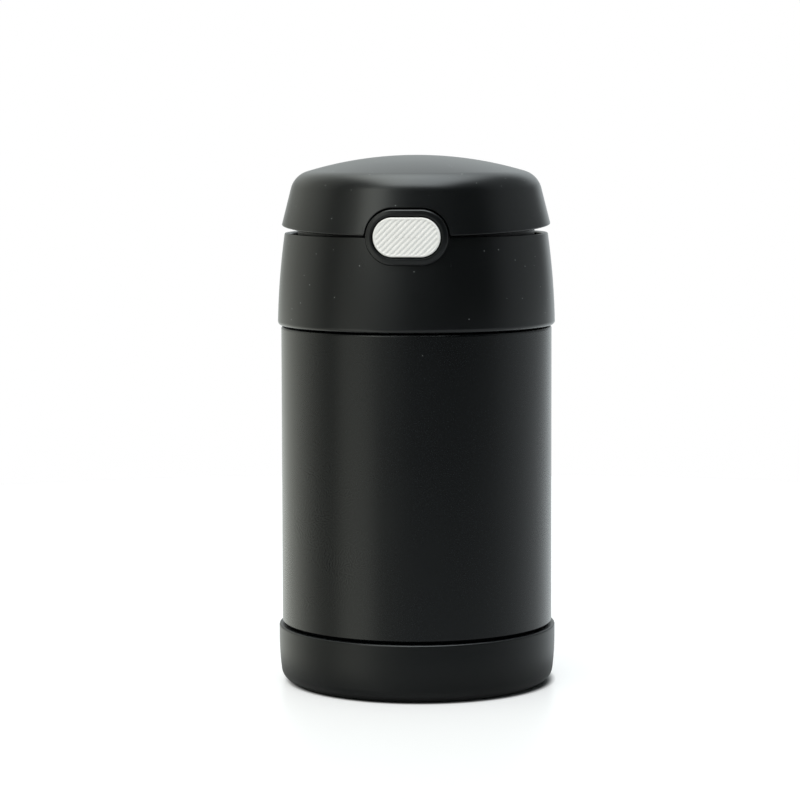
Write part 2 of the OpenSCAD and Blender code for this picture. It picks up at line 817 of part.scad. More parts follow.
module cap_shell() {
    low = collar_top_z - over;
    color([0.06, 0.06, 0.065]) difference() {
        union() {
            difference() {
                turned(cap_outline(0, low));
                turned(cap_outline(cap_wall, low - over));
                translate([0, -cap_foot_r, collar_top_z + rim_gap_front])
                    rotate([rim_tilt, 0, 0])
                        translate([-big / 2, -big / 2, -big]) cube([big, 2 * big, big]);
                obround(
                    bezel_w + 2 * notch_gap, bezel_h + 2 * notch_gap,
                    -body_d, -tray_r + 3, button_z
                );
                for (s = [0, 1]) mirror([s, 0, 0])
                    rod_x(
                        turn_r, hinge_w / 2 - ear_w - hinge_gap, hinge_w / 2 + hinge_gap,
                        hinge_y, hinge_z
                    );
            }
            for (s = [0, 1]) mirror([s, 0, 0]) knuckle();
        }
        rod_x(pin_r + pin_clear, -hinge_w, hinge_w, hinge_y, hinge_z);
    }
}

// Hinge knuckle with the web that carries it from the cap's wall
module knuckle() {
    x0 = knuckle_x;
    x1 = knuckle_x + knuckle_w;
    web_z = collar_top_z + rim_gap_back + 2.5;
    rod_x(barrel_r, x0, x1, hinge_y, hinge_z);
    intersection() {
        block([x0, hinge_y - barrel_r + 0.6, hinge_z], [x1, hinge_y + big, web_z]);
        turned(cap_outline(cap_wall / 4, hinge_z - over));
    }
}

module cap_liner() {
    inset = cap_wall + cover_gap;
    color([0.12, 0.12, 0.125]) union() {
        difference() {
            turned(cap_outline(inset, cover_z));
            turned(cap_outline(inset + cover_t, cover_z - over));
        }
        intersection() {
            union() {
                block([-hook_w / 2, hook_y, lip_z], [hook_w / 2, hook_y + hook_t, cap_top_z]);
                for (s = [-1, 1])
                    block(
                        [s * 3 - 0.6, hook_y, cover_z], [s * 3 + 0.6, hook_y + 6, cap_top_z]
                    );
            }
            turned(cap_outline(inset + cover_t / 2, lip_z - over));
        }
        block(
            [-hook_w / 2, hook_y + hook_t - seat, lip_z],
            [hook_w / 2, hook_y + hook_t + lip_reach, lip_z + lip_h]
        );
    }
}

// ---- button group ----

module button() {
    face_y = bezel_y - button_proud;
    flange_y = bezel_y + bezel_skin + seat;
    groove_w = button_w - 2 * rib_border;
    groove_h = button_h - 2 * rib_border;
    count = ceil((button_w + button_h) / 2 / rib_pitch);
    color([0.92, 0.92, 0.91]) difference() {
        union() {
            obround(button_w, button_h, face_y, button_back_y, button_z);
            obround(
                button_w + 2 * flange_lip, button_h + 2 * flange_lip,
                flange_y, button_back_y, button_z
            );
        }
        intersection() {
            obround(groove_w, groove_h, face_y - over, face_y + rib_depth, button_z);
            translate([0, 0, button_z]) rotate([0, -45, 0]) union() {
                for (i = [-count:count])
                    block(
                        [-button_w, face_y - 2 * over, (i - 0.25) * rib_pitch],
                        [button_w, face_y + rib_depth, (i + 0.25) * rib_pitch]
                    );
            }
        }
    }
}

module latch_slider() {
    x = slider_w / 2;
    front = button_back_y + seat;
    color([0.85, 0.85, 0.84]) union() {
        block([-x, front, slider_z], [x, front + slider_t, slider_z + slider_h]);
        for (s = [0, 1]) mirror([s, 0, 0])
            block([x - arm_w, front, slider_z], [x, spring_y, slider_z + arm_h]);
        block([-x, upright_y, slider_z], [x, spring_y, slider_z + slider_h]);
        block(
            [-nose_w / 2, nose_y, slider_z + slider_h - nose_h],
            [nose_w / 2, upright_y + seat, slider_z + slider_h]
        );
    }
}

module button_spring() {
    turns = 4;
    steps = 14;
    n = turns * steps;
    y0 = spring_y + seat + spring_wire / 2;
    y1 = pocket_y - seat - spring_wire / 2;
    z = slider_z + slider_h / 2;
    path = [
        for (i = [0:n])
            let (a = 360 * i / steps)
            [spring_r * cos(a), y0 + (y1 - y0) * i / n, z + spring_r * sin(a)]
    ];
    color([0.6, 0.6, 0.62]) wire(path, spring_wire);
}

outer_shell();
inner_liner();
shell_base();
vacuum_seal();
getter();
base_cup();
lid_gasket();
stopper();
stopper_foam();
stopper_base();
lid_collar();
spoon_tray();
button_bezel();
hinge_pin();
hinge_spring();
spoon_bowl();
spoon_handle();
spoon_pin();
cap_shell();
cap_liner();
button();
latch_slider();
button_spring();
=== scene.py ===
import math
import bmesh
import bpy
import numpy as np
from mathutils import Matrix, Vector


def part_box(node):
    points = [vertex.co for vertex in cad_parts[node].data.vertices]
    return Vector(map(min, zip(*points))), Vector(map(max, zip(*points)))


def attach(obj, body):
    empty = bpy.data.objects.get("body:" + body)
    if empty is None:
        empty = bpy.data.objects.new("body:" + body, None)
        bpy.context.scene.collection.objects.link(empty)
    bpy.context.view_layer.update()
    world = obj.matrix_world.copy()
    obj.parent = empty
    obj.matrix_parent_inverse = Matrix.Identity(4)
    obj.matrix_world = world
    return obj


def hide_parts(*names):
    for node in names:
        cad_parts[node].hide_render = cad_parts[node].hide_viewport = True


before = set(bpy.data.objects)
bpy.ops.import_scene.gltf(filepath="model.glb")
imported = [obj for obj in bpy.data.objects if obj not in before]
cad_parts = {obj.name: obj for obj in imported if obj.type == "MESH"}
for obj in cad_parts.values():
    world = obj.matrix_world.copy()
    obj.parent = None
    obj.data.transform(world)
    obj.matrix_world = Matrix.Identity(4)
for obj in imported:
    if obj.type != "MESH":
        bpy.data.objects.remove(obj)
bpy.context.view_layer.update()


# ---- Vessel body ----
# The body is a drawn steel tube, necked in above its shoulder and rolled with a two-start thread.
# It is powder coated in black: a matt, very slightly pebbled film with a few flecks of dust in it.

def corner_box(node):
    """Lowest and highest corner of a CAD node, in mm."""
    low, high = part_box(node)
    return np.array(low) * 1000, np.array(high) * 1000


def outline(corners, closed=True, steps=6, support=0.15):
    """Profile through corners (across, up, radius). Each corner gives way to an arc that is tangent
    to both of its sides: the arc's centre lies radius / sin(half angle) along the bisector, and its
    points are blended from one tangent point to the other by the sine rule. One more point a short
    way along each side, at most 0.3 of its straight stretch, keeps that stretch flat in shading.
    Open ends stay as they are."""
    rows = np.array(corners, float)
    at, radius = rows[:, :2], rows[:, 2]
    back, ahead = np.roll(at, 1, 0) - at, np.roll(at, -1, 0) - at
    back_length, ahead_length = np.linalg.norm(back, axis=1), np.linalg.norm(ahead, axis=1)
    back, ahead = back / back_length[:, None], ahead / ahead_length[:, None]
    half = np.arccos(np.clip((back * ahead).sum(1), -1, 1)) / 2
    cut = radius / np.tan(half)
    bisector = (back + ahead) / np.linalg.norm(back + ahead, axis=1)[:, None]
    centre = at + bisector * (radius / np.sin(half))[:, None]
    first, last = at + back * cut[:, None], at + ahead * cut[:, None]
    sweep = (math.pi - 2 * half)[:, None, None]
    t = np.linspace(0, 1, steps + 1)[None, :, None]
    arc = centre[:, None] + (
        np.sin((1 - t) * sweep) * (first - centre)[:, None]
        + np.sin(t * sweep) * (last - centre)[:, None]
    ) / np.sin(sweep)
    most = 0.3
    room_back = np.minimum(support, most * (back_length - cut - np.roll(cut, 1)))
    room_ahead = np.minimum(support, most * (ahead_length - cut - np.roll(cut, -1)))
    before = first + back * room_back[:, None]
    after = last + ahead * room_ahead[:, None]
    points = np.concatenate([before[:, None], arc, after[:, None]], 1)
    if closed:
        points = points.reshape(-1, 2)
        return np.concatenate([points, points[:1]])
    return np.concatenate([at[:1], points[1:-1].reshape(-1, 2), at[-1:]])


def revolved(profile, steps=288):
    """Surface of revolution: a profile point (r, z) turned by angle a lies at
    (r cos a, r sin a, z)."""
    angle = np.linspace(0, 2 * math.pi, steps, endpoint=False)[:, None]
    r, z = profile[:, 0], profile[:, 1]
    return np.stack([r * np.cos(angle), r * np.sin(angle), z + 0 * angle], -1)


def eased(t):
    """Smooth rise from 0 to 1: t squared times (3 - 2 t)."""
    return t * t * (3 - 2 * t)


thread_lead = 8.0
thread_rise, thread_sunk = 1.1, 0.3
thread_crest, thread_root = 1.0, 2.2


def ridge(wall, way, start, low, turns, steps=150):
    """Thread ridge on a helix: its rounded section stands out of the wall by way times its rise,
    and at turn t it lies at angle start + 2 pi t and height low + lead t. Over the first and last
    eighth of a turn it thins to a tenth of its width and sinks into the wall."""
    t = np.linspace(0, turns, steps)[None, :]
    swell = eased(np.clip(np.minimum(t, turns - t) * 8, 0, 1))
    section = outline([
        (-thread_sunk, -thread_root / 2, 0.05), (thread_rise, -thread_crest / 2, 0.2),
        (thread_rise, thread_crest / 2, 0.2), (-thread_sunk, thread_root / 2, 0.05),
    ], steps=3, support=0.05)[:-1]
    out, up = section[:, :1], section[:, 1:]
    least = 0.1
    r = wall + way * (out * np.where(out > 0, swell, 1) - least * (1 - swell))
    angle = start + 2 * math.pi * t
    z = low + thread_lead * t + up * (least + (1 - least) * swell)
    return np.stack([r * np.cos(angle), r * np.sin(angle), z], -1)


def signed_volume(points, quads):
    """Volume inside closed quads: a sixth of the sum of each triangle's a . (b x c)."""
    a, b, c, d = (points[quads[:, k]] for k in range(4))
    return ((a * np.cross(b, c)).sum() + (a * np.cross(c, d)).sum()) / 6


same_point = 2e-7


def piece(name, skins, finish, slot, body, *nodes):
    """Mesh object of closed skins in mm. A skin is a grid of points whose rows wrap round. If its
    first and last column differ, each is closed by a fan to its middle. Every skin faces outwards,
    and points nearer than same_point, in metres, are joined."""
    points, quads, count = [], [], 0
    for skin in skins:
        if not np.allclose(skin[:, 0], skin[:, -1], atol=1e-9):
            ends = [np.repeat(skin[:, k].mean(0)[None, None], len(skin), 0) for k in (0, -1)]
            skin = np.concatenate([ends[0], skin, ends[1]], 1)
        rows, columns = skin.shape[:2]
        i, j = np.meshgrid(np.arange(rows), np.arange(columns - 1), indexing="ij")
        k = (i + 1) % rows
        faces = np.stack([i * columns + j, k * columns + j, k * columns + j + 1, i * columns + j + 1], -1)
        faces = faces.reshape(-1, 4)
        flat = skin.reshape(-1, 3)
        if signed_volume(flat, faces) < 0:
            faces = faces[:, ::-1]
        points.append(flat)
        quads.append(faces + count)
        count += len(flat)
    mesh = bpy.data.meshes.new(name)
    mesh.from_pydata((np.concatenate(points) / 1000).tolist(), [], np.concatenate(quads).tolist())
    work = bmesh.new()
    work.from_mesh(mesh)
    bmesh.ops.remove_doubles(work, verts=work.verts, dist=same_point)
    bmesh.ops.delete(work, geom=[e for e in work.edges if not e.link_faces], context="EDGES")
    work.to_mesh(mesh)
    work.free()
    mesh.shade_smooth()
    made = bpy.data.objects.new(name, mesh)
    bpy.context.scene.collection.objects.link(made)
    made.data.materials.append(finish)
    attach(made, body)
    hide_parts(*nodes)


class Socket:
    """A node's output socket, on which arithmetic adds Math nodes."""

    def __init__(self, tree, socket):
        self.tree, self.socket = tree, socket

    def maths(self, operation, first, second):
        return self.tree.add("Math", {"operation": operation}, s0=first, s1=second)

    def most(self, other):
        """The larger of this value and another."""
        return self.maths("MAXIMUM", self, other)

    def __add__(self, other):
        return self.maths("ADD", self, other)

    def __sub__(self, other):
        return self.maths("SUBTRACT", self, other)

    def __rsub__(self, other):
        return self.maths("SUBTRACT", other, self)

    def __mul__(self, other):
        return self.maths("MULTIPLY", self, other)

    def __truediv__(self, other):
        return self.maths("DIVIDE", self, other)

    __radd__, __rmul__ = __add__, __mul__

    def over(self, low, high):
        """0 below low and 1 above high, with a smooth rise between them."""
        return self.tree.add(
            "MapRange", {"interpolation_type": "SMOOTHSTEP"}, Value=self,
            **{"From Min": low, "From Max": high},
        )


class Nodes:
    """Node tree of a material or of the world, with its last shader. add() makes any node, from its
    type, its settings and the values or links of its inputs, named, or s0, s1 ... by their place."""

    def __init__(self, owner, shader):
        owner.use_nodes = True
        self.tree = owner.node_tree
        self.shader = self.tree.nodes[shader]

    def set(self, name, value, node=None):
        """Give an input of a node, or of the shader, its value or its link."""
        where = (node or self.shader).inputs
        socket = where[int(name[1:])] if name[0] == "s" and name[1:].isdigit() else where[name]
        if isinstance(value, Socket):
            self.tree.links.new(value.socket, socket)
        else:
            socket.default_value = value

    def add(self, kind, settings, output=0, **inputs):
        node = self.tree.nodes.new("ShaderNode" + kind)
        for key, value in settings.items():
            setattr(node, key, value)
        for key, value in inputs.items():
            self.set(key, value, node)
        return Socket(self, node.outputs[output])

    def blend(self, factor, first, second):
        """Mix of two colours, given as numbers or as sockets, by the factor."""
        pair = [c if isinstance(c, Socket) else (*c, 1) for c in (first, second)]
        return self.add("Mix", {"data_type": "RGBA"}, 2, s0=factor, s6=pair[0], s7=pair[1])


class Finish(Nodes):
    """Material of one surface finish: a plain shader, over which patterns are laid by place."""

    def __init__(self, name, colour, roughness, metallic=0.0):
        self.material = bpy.data.materials.new(name)
        super().__init__(self.material, "Principled BSDF")
        self.set("Base Color", (*colour, 1))
        self.set("Roughness", roughness)
        self.set("Metallic", metallic)
        self.place = self.add("TexCoord", {}, "Object")

    def noise(self, size, detail=2, roughness=0.5, stretch=(1, 1, 1)):
        """Noise whose lumps are about size mm across, times the stretch along each axis."""
        place = self.add("Mapping", {}, Vector=self.place, Scale=tuple(1 / s for s in stretch))
        return self.add(
            "TexNoise", {}, Vector=place, Scale=1000 / size, Detail=detail, Roughness=roughness
        )

    def flecks(self, spacing, size, share):
        """1 on rare small specks: the share of a Voronoi pattern's cells whose random value is
        highest, out to size of the cell from its point, with a soft edge from half of that."""
        distance = self.add("TexVoronoi", {}, "Distance", Vector=self.place, Scale=1000 / spacing)
        chance = self.add("TexVoronoi", {}, "Color", Vector=self.place, Scale=1000 / spacing)
        chance = self.add("SeparateColor", {}, "Red", Color=chance)
        rare, edge = 1 - share, 0.002
        return (1 - distance.over(size / 2, size)) * chance.over(rare, rare + edge)

    def bump(self, height, depth, under=None):
        """Bump of a height socket times depth mm, over an earlier bump if there is one."""
        inputs = {"Height": height, "Strength": 1.0, "Distance": depth / 1000}
        if under:
            inputs["Normal"] = under
        return self.add("Bump", {}, **inputs)


def powder_coat():
    """Fine pebbled film: two sizes of noise in the bump, a faint drift of tone and dust flecks."""
    dark, light, dusty = (0.0009, 0.0016, 0.0020), (0.0019, 0.0024, 0.0028), (0.35, 0.35, 0.34)
    smoothest = 0.23
    film = Finish("powder_coat", light, smoothest)
    pebbles, waves = film.noise(size=0.34, detail=3), film.noise(size=2.2)
    drift = film.noise(size=30)
    dust = film.flecks(spacing=5.5, size=0.045, share=0.10)
    film.set("Base Color", film.blend(dust, film.blend(drift, dark, light), dusty))
    film.set("Roughness", smoothest + drift * 0.05 + pebbles * 0.04)
    film.set("Normal", film.bump(pebbles, 0.009, film.bump(waves, 0.005)))
    return film.material


shell_low, shell_high = corner_box("outer_shell")
body_r, rim_z = shell_high[0], shell_high[2]
cup_high = corner_box("base_cup")[1]
cup_top = cup_high[2]
shell_wall = 0.6
foot_r = body_r - 1.2
neck_r = body_r - 6.8
shoulder_z = 118.3
step_low, step_high = cup_top, cup_top + 1.2
thread_z = shoulder_z + 6

shell_outline = outline([
    (foot_r, shell_low[2], 0.15), (foot_r, step_low, 0.3), (body_r, step_high, 0.3),
    (body_r, shoulder_z, 0.8), (neck_r, shoulder_z, 1.5), (neck_r, rim_z, 0.28),
    (neck_r - shell_wall, rim_z, 0.28), (neck_r - shell_wall, shoulder_z - shell_wall, 2.1),
    (body_r - shell_wall, shoulder_z - shell_wall, 0.2), (body_r - shell_wall, step_high, 0.5),
    (foot_r - shell_wall, step_low, 0.5), (foot_r - shell_wall, shell_low[2], 0.15),
])
neck_ridges = [ridge(neck_r, 1, math.pi * s, thread_z, turns=1.0) for s in (0, 1)]
piece(
    "vessel_body", [revolved(shell_outline), *neck_ridges], powder_coat(),
    "powder_coat", "vessel", "outer_shell",
)


# ---- Base cup ----
# A black non-slip cup is pressed over the foot of the body. It is moulded with a soft rounded
# bottom, a slightly barrelled side and a thin rolled lip, and it stands on a flat ring.

def moulded(name, colour, roughness, grain=0.28, depth=0.006, dust=0.0, shine=0.5):
    """Spark-eroded mould texture: fine grain in the bump and roughness over a slow drift of both
    tone, from 0.8 to 1.25 of the colour, and roughness. A share of dust may lie on it, and shine is
    the strength of the bare plastic's reflection."""
    skin = Finish(name, colour, roughness)
    fine, slow = skin.noise(size=grain, detail=3, roughness=0.6), skin.noise(size=22)
    dark, light = (tuple(part * share for part in colour) for share in (0.8, 1.25))
    dusty, drift = (0.30, 0.31, 0.31), 0.04
    tone = skin.blend(slow, dark, light)
    if dust:
        tone = skin.blend(skin.flecks(spacing=3.5, size=0.055, share=dust), tone, dusty)
    skin.set("Base Color", tone)
    skin.set("Roughness", roughness - drift / 2 + slow * drift + fine * 0.05)
    skin.set("Normal", skin.bump(fine, depth))
    skin.set("Specular IOR Level", shine)
    return skin.material


cup_r, cup_inner_r = cup_high[0], foot_r + 0.15
cup_foot_r, cup_corner = cup_r - 1.1, 4.4
cup_waist_z, cup_bulge = 10.5, 90.0
ring_r, ring_z = 34.8, 1.2
cup_floor = 2.4
# From the recess under the floor over the ring it stands on and the corner to the side, which an
# arc of 90 mm turns upright, then over the lip and down inside.
cup_outline = outline([
    (0, ring_z, 0), (ring_r - ring_z, ring_z, 0.4), (ring_r, 0, 0.5), (cup_foot_r, 0, cup_corner),
    (cup_r, cup_waist_z, cup_bulge), (cup_r, cup_top, 0.6), (cup_inner_r, cup_top, 0.1),
    (cup_inner_r, cup_floor, 0.5), (0, cup_floor, 0),
], closed=False, steps=8)
piece(
    "base_cup_moulding", [revolved(cup_outline)],
    moulded("cup_plastic", (0.0013, 0.0019, 0.0022), 0.34, shine=0.42),
    "cup_plastic", "vessel", "base_cup",
)


# ---- Inner vessel ----
# The liner is a deep-drawn stainless bottle, electropolished inside and welded to the shell at the
# rim. A disc closes the foot, with a solder pellet over its pump hole, and a getter sits in the gap.

def steel(name, colour, roughness, grain=(1, 1, 1), size=0.25, depth=0.002):
    """Brushed or drawn steel: noise that is long along the grain, in tone, roughness and bump."""
    metal = Finish(name, colour, roughness, metallic=1.0)
    lines = metal.noise(size, detail=3, roughness=0.6, stretch=grain)
    cloud = metal.noise(size=14)
    dark = tuple(part * 0.88 for part in colour)
    metal.set("Base Color", metal.blend(lines, dark, colour))
    metal.set("Roughness", roughness - 0.06 + lines * 0.08 + cloud * 0.05)
    metal.set("Normal", metal.bump(lines, depth))
    return metal.material


liner_low, liner_high = corner_box("inner_liner")
liner_r, liner_floor = liner_high[0], liner_low[2]
liner_wall, neck_gap = 0.5, 1.3
throat_r = neck_r - shell_wall - neck_gap - liner_wall
taper_z = shoulder_z - 8
lip_r, lip_z = neck_r - shell_wall - 0.05, rim_z - 0.8
liner_outline = outline([
    (0, liner_floor, 0), (liner_r, liner_floor, 8.5), (liner_r, taper_z, 6.0),
    (throat_r + liner_wall, shoulder_z, 6.0), (throat_r + liner_wall, lip_z, 0.1),
    (lip_r, lip_z, 0.1), (lip_r, rim_z, 0.15),
    (throat_r, rim_z, 0.3), (throat_r, shoulder_z, 5.5), (liner_r - liner_wall, taper_z, 5.5),
    (liner_r - liner_wall, liner_floor + liner_wall, 8.0), (0, liner_floor + liner_wall, 0),
], closed=False)
piece(
    "food_liner", [revolved(liner_outline)],
    steel("liner_steel", (0.62, 0.61, 0.60), 0.26, grain=(6, 6, 0.35)),
    "liner_steel", "vessel", "inner_liner",
)


def dress(node, finish):
    """A CAD piece that keeps its own shape takes a finish."""
    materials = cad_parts[node].data.materials
    materials.clear()
    materials.append(finish)


dress("shell_base", steel("shell_base_steel", (0.50, 0.49, 0.48), 0.38))
dress("vacuum_seal", steel("solder", (0.42, 0.38, 0.32), 0.45, size=0.8, depth=0.02))
dress("getter", steel("getter_metal", (0.16, 0.16, 0.165), 0.6, size=0.3, depth=0.02))


# ---- Stopper and gasket ----
# The lid screws on by a black stopper, moulded in one with its threaded skirt, top plate and plug.
# A pale silicone ring seals on the rim. The plug is filled with foam and closed by a pale disc.

stopper_low, stopper_high = corner_box("stopper")
disc_low, disc_high = corner_box("stopper_base")
plug_r, plug_z = disc_high[0], stopper_low[2]
plug_in_r = plug_r - 1.6
plate_top = stopper_high[2]
plate_z = plate_top - 2.0
thread_gap = 0.35
skirt_r, skirt_out_r = neck_r + thread_rise + thread_gap, stopper_high[0]
skirt_z = shoulder_z + 3.5
stopper_outline = outline([
    (0, plate_z, 0), (plug_in_r, plate_z, 0.3), (plug_in_r, plug_z, 0.15),
    (plug_r, plug_z, 0.15), (plug_r, plate_z, 0.3), (skirt_r, plate_z, 0.3),
    (skirt_r, skirt_z, 0.3), (skirt_out_r, skirt_z, 0.4), (skirt_out_r, plate_top, 0.4),
    (0, plate_top, 0),
], closed=False)
lid_start, lid_thread_below = 150, 1.9
lid_thread_z = thread_z + thread_lead * lid_start / 360 - lid_thread_below
lid_ridges = [
    ridge(skirt_r, -1, math.radians(lid_start) + math.pi * s, lid_thread_z, turns=0.6, steps=100)
    for s in (0, 1)
]
piece(
    "screw_stopper", [revolved(stopper_outline), *lid_ridges],
    moulded("stopper_plastic", (0.02, 0.02, 0.021), 0.42), "stopper_plastic", "lid", "stopper",
)

gasket_low, gasket_high = corner_box("lid_gasket")
gasket_in, gasket_out = plug_r + 0.25, gasket_high[0]
gasket_outline = outline([
    (gasket_in, gasket_low[2], 0.3), (gasket_out, gasket_low[2], 0.3),
    (gasket_out, gasket_high[2], 0.3), (gasket_in, gasket_high[2], 0.3),
])
piece(
    "rim_gasket", [revolved(gasket_outline)],
    moulded("silicone", (0.55, 0.55, 0.52), 0.34, grain=0.6, depth=0.004),
    "silicone", "gasket", "lid_gasket",
)

disc_z, disc_top = disc_low[2], disc_low[2] + 2
spigot_r = plug_in_r - 0.05
spigot_in_r, spigot_top = spigot_r - 1.2, disc_high[2]
disc_outline = outline([
    (0, disc_z, 0), (plug_r, disc_z, 0.6), (plug_r, disc_top, 0.15), (spigot_r, disc_top, 0.1),
    (spigot_r, spigot_top, 0.2), (spigot_in_r, spigot_top, 0.2), (spigot_in_r, disc_top, 0.2),
    (0, disc_top, 0),
], closed=False)
piece(
    "plug_disc", [revolved(disc_outline)], moulded("stopper_disc", (0.60, 0.60, 0.585), 0.4),
    "stopper_disc", "lid", "stopper_base",
)
dress("stopper_foam", moulded("foam", (0.80, 0.78, 0.70), 0.85, grain=1.2, depth=0.15))


# ---- Collar ----
# The lid's outer ring is a black moulding: a cone with a faint bulge, a soft rounded foot and a
# thin top lip. It carries the hinge's ears at the back and is cut out for the button's surround.

def round_point(angle, r, z):
    """Point at a radius and height, with its angle counted from the front, -Y, towards +X."""
    return np.stack([r * np.sin(angle), -r * np.cos(angle), z + 0 * angle], -1)


def slot_edge(flat, bow, middle, way, corner, rim, radius):
    """Edge that runs round the lid and follows a slot-shaped notch at the front, as angles and
    heights for a whole turn. The notch is a straight stretch of half length flat and a circle of
    radius bow about (flat, middle); it reaches up (way 1) or down (way -1). A small circle of
    radius corner, which touches both, rounds the corner between the notch and the rim. Round the
    back the points lie wider apart, by a power of 1.6."""
    rim_here = rim(np.array([math.asin((flat + bow) / radius(middle))]))[0]
    small_z = rim_here + way * corner
    small_x = flat + math.sqrt((bow + corner) ** 2 - (small_z - middle) ** 2)
    start = math.atan2(way * (small_z - middle), small_x - flat)
    turn = np.linspace(math.pi / 2, start, 44)
    small = np.linspace(math.pi + start, 1.5 * math.pi, 10)[1:]
    x = np.concatenate([
        np.linspace(0, flat, 8)[:-1], flat + bow * np.cos(turn), small_x + corner * np.cos(small)
    ])
    z = np.concatenate([
        np.full(7, middle + way * bow), middle + way * bow * np.sin(turn),
        small_z + way * corner * np.sin(small),
    ])
    front = np.arcsin(x / radius(z))
    spread = 1.6
    rest = front[-1] + (math.pi - front[-1]) * np.linspace(0, 1, 170)[1:] ** spread
    angle = np.concatenate([front, rest])
    height = np.concatenate([z, rim(rest)])
    return (
        np.concatenate([-angle[1:-1][::-1], angle]),
        np.concatenate([height[1:-1][::-1], height]),
    )


def walled(angle, height, radius, wall, way, fixed, bend):
    """Skin of a thin wall that ends at an edge given by angles and heights. From the edge it runs
    up or down (way 1 or -1) its outer face, along the fixed profile (r, z), and back along the
    inner face. The edge itself is two quarter circles of radius bend and a flat between them, set
    off from the edge along the surface's normal and along the direction that lies in the surface.
    Away from the edge the columns drift to even angles, a running mean of the edge's own."""
    rows, window, near, support = 10, 31, 0.01, 0.15
    mean = np.ones(window) / window
    even = np.concatenate([angle - 2 * math.pi, angle, angle + 2 * math.pi])
    even = np.convolve(np.convolve(even, mean, "same"), mean, "same")[len(angle):2 * len(angle), None]
    slope = (radius(height + near) - radius(height - near)) / (2 * near)
    edge = round_point(angle, radius(height), height)
    along = np.roll(edge, -1, 0) - np.roll(edge, 1, 0)
    out = np.stack([np.sin(angle), -np.cos(angle), -slope], -1)
    out /= np.linalg.norm(out, axis=1)[:, None]
    into = way * np.cross(out, along)
    into /= np.linalg.norm(into, axis=1)[:, None]
    out, into, edge = out[:, None], into[:, None], edge[:, None]
    q = np.linspace(0, math.pi / 2, 6)[None, :, None]
    outer_round = edge + into * bend * (1 - np.sin(q)) - out * bend * (1 - np.cos(q))
    inner_round = edge + into * bend * (1 - np.cos(q)) - out * (wall - bend + bend * np.sin(q))
    outer_start = edge + into * (bend + support)
    inner_start = outer_start - out * wall

    def face(start, end_z, lean):
        share = np.linspace(0, 1, rows + 1)[None, :-1]
        turn = np.arctan2(start[:, 0, 0], -start[:, 0, 1])[:, None]
        turn = turn + ((even - turn + math.pi) % (2 * math.pi) - math.pi) * eased(share)
        z = start[:, :, 2] + (end_z - start[:, :, 2]) * share
        r = radius(z) - lean * np.sqrt(1 + ((radius(z + near) - radius(z)) / near) ** 2)
        return round_point(turn, r, z)

    outer, inner = face(outer_start, fixed[0, 1], 0), face(inner_start, fixed[-1, 1], wall)
    middle = round_point(even, fixed[None, :, 0], fixed[None, :, 1])
    skin = np.concatenate([outer, middle, inner[:, ::-1], inner_round[:, ::-1], outer_round[:, ::-1]], 1)
    return np.concatenate([skin, skin[:, :1]], 1)


def bar(points, low, high, bend=0.25):
    """Rod along X with a rounded outline of points (y, z): the outline shrinks towards its middle
    by a quarter circle at each end, and once more on the flat end face."""
    shape = np.array(points, float)
    middle = shape.mean(0)
    reach = np.linalg.norm(shape - middle, axis=1).mean()
    q = np.linspace(0, math.pi / 2, 5)
    shrink = 1 - bend * (1 - np.sin(q)) / reach
    face = [shrink[0] * 0.92]
    scale = np.concatenate([face, shrink, shrink[::-1], face])
    x = np.concatenate([
        [low], low + bend * (1 - np.cos(q)), high - bend * (1 - np.cos(q[::-1])), [high]
    ])
    yz = middle + (shape - middle)[:, None] * scale[None, :, None]
    return np.concatenate([np.broadcast_to(x[None, :, None], yz.shape[:2] + (1,)), yz], -1)


def rod(r, low, high, y, z, bend=0.2):
    """Round rod along X."""
    a = np.linspace(0, 2 * math.pi, 48, endpoint=False)
    return bar(np.stack([y + r * np.cos(a), z + r * np.sin(a)], 1), low, high, bend)


def block(low, high, bend=0.2):
    """Block between two corners with rounded edges: a ball of radius bend whose eight parts are
    pulled apart to the corners, closed by its flat faces."""
    low, high = np.minimum(low, high), np.maximum(low, high)
    middle, reach = (low + high) / 2, (high - low) / 2 - bend
    quarter = np.linspace(0, math.pi / 2, 4)
    round_by = np.concatenate([quarter + k * math.pi / 2 for k in range(4)])[:, None]
    side = np.repeat(np.arange(4), 4)[:, None]
    up = np.concatenate([quarter - math.pi / 2, quarter])[None, :]
    ball = np.stack([
        np.cos(up) * np.cos(round_by), np.cos(up) * np.sin(round_by), np.sin(up) + 0 * round_by
    ], -1)
    pull = np.stack(np.broadcast_arrays(
        np.where((side == 0) | (side == 3), 1, -1), np.where(side < 2, 1, -1),
        np.repeat([-1, 1], 4)[None, :],
    ), -1)
    return middle + pull * reach + bend * ball


collar_z = corner_box("lid_collar")[0][2]
collar_foot_r = body_r + 1.1
collar_foot_round = 1.2
collar_top_r = collar_foot_r - 2.4
collar_top = 149.2
collar_bulge = 250.0
collar_wall = 2.0
hinge_y = collar_top_r - 0.85
hinge_z = collar_top + 2.3
barrel_r = 2.8
ear_in, ear_out = 8.0, 12.0

bezel_low, bezel_high = corner_box("button_bezel")
bezel_w, bezel_h = bezel_high[0] - bezel_low[0], bezel_high[2] - bezel_low[2]
bezel_z = (bezel_high[2] + bezel_low[2]) / 2
bezel_y = bezel_low[1]


def collar_radius(z):
    """Radius of the collar's outer face: an arc of 250 mm through its foot and its top edge."""
    foot = np.array([collar_foot_r, collar_z + collar_foot_round])
    top = np.array([collar_top_r, collar_top])
    half = np.linalg.norm(top - foot) / 2
    along = (top - foot) / (2 * half)
    reach = math.sqrt(collar_bulge ** 2 - half ** 2)
    centre = (foot + top) / 2 - reach * np.array([along[1], -along[0]])
    return centre[0] + np.sqrt(collar_bulge ** 2 - (z - centre[1]) ** 2)


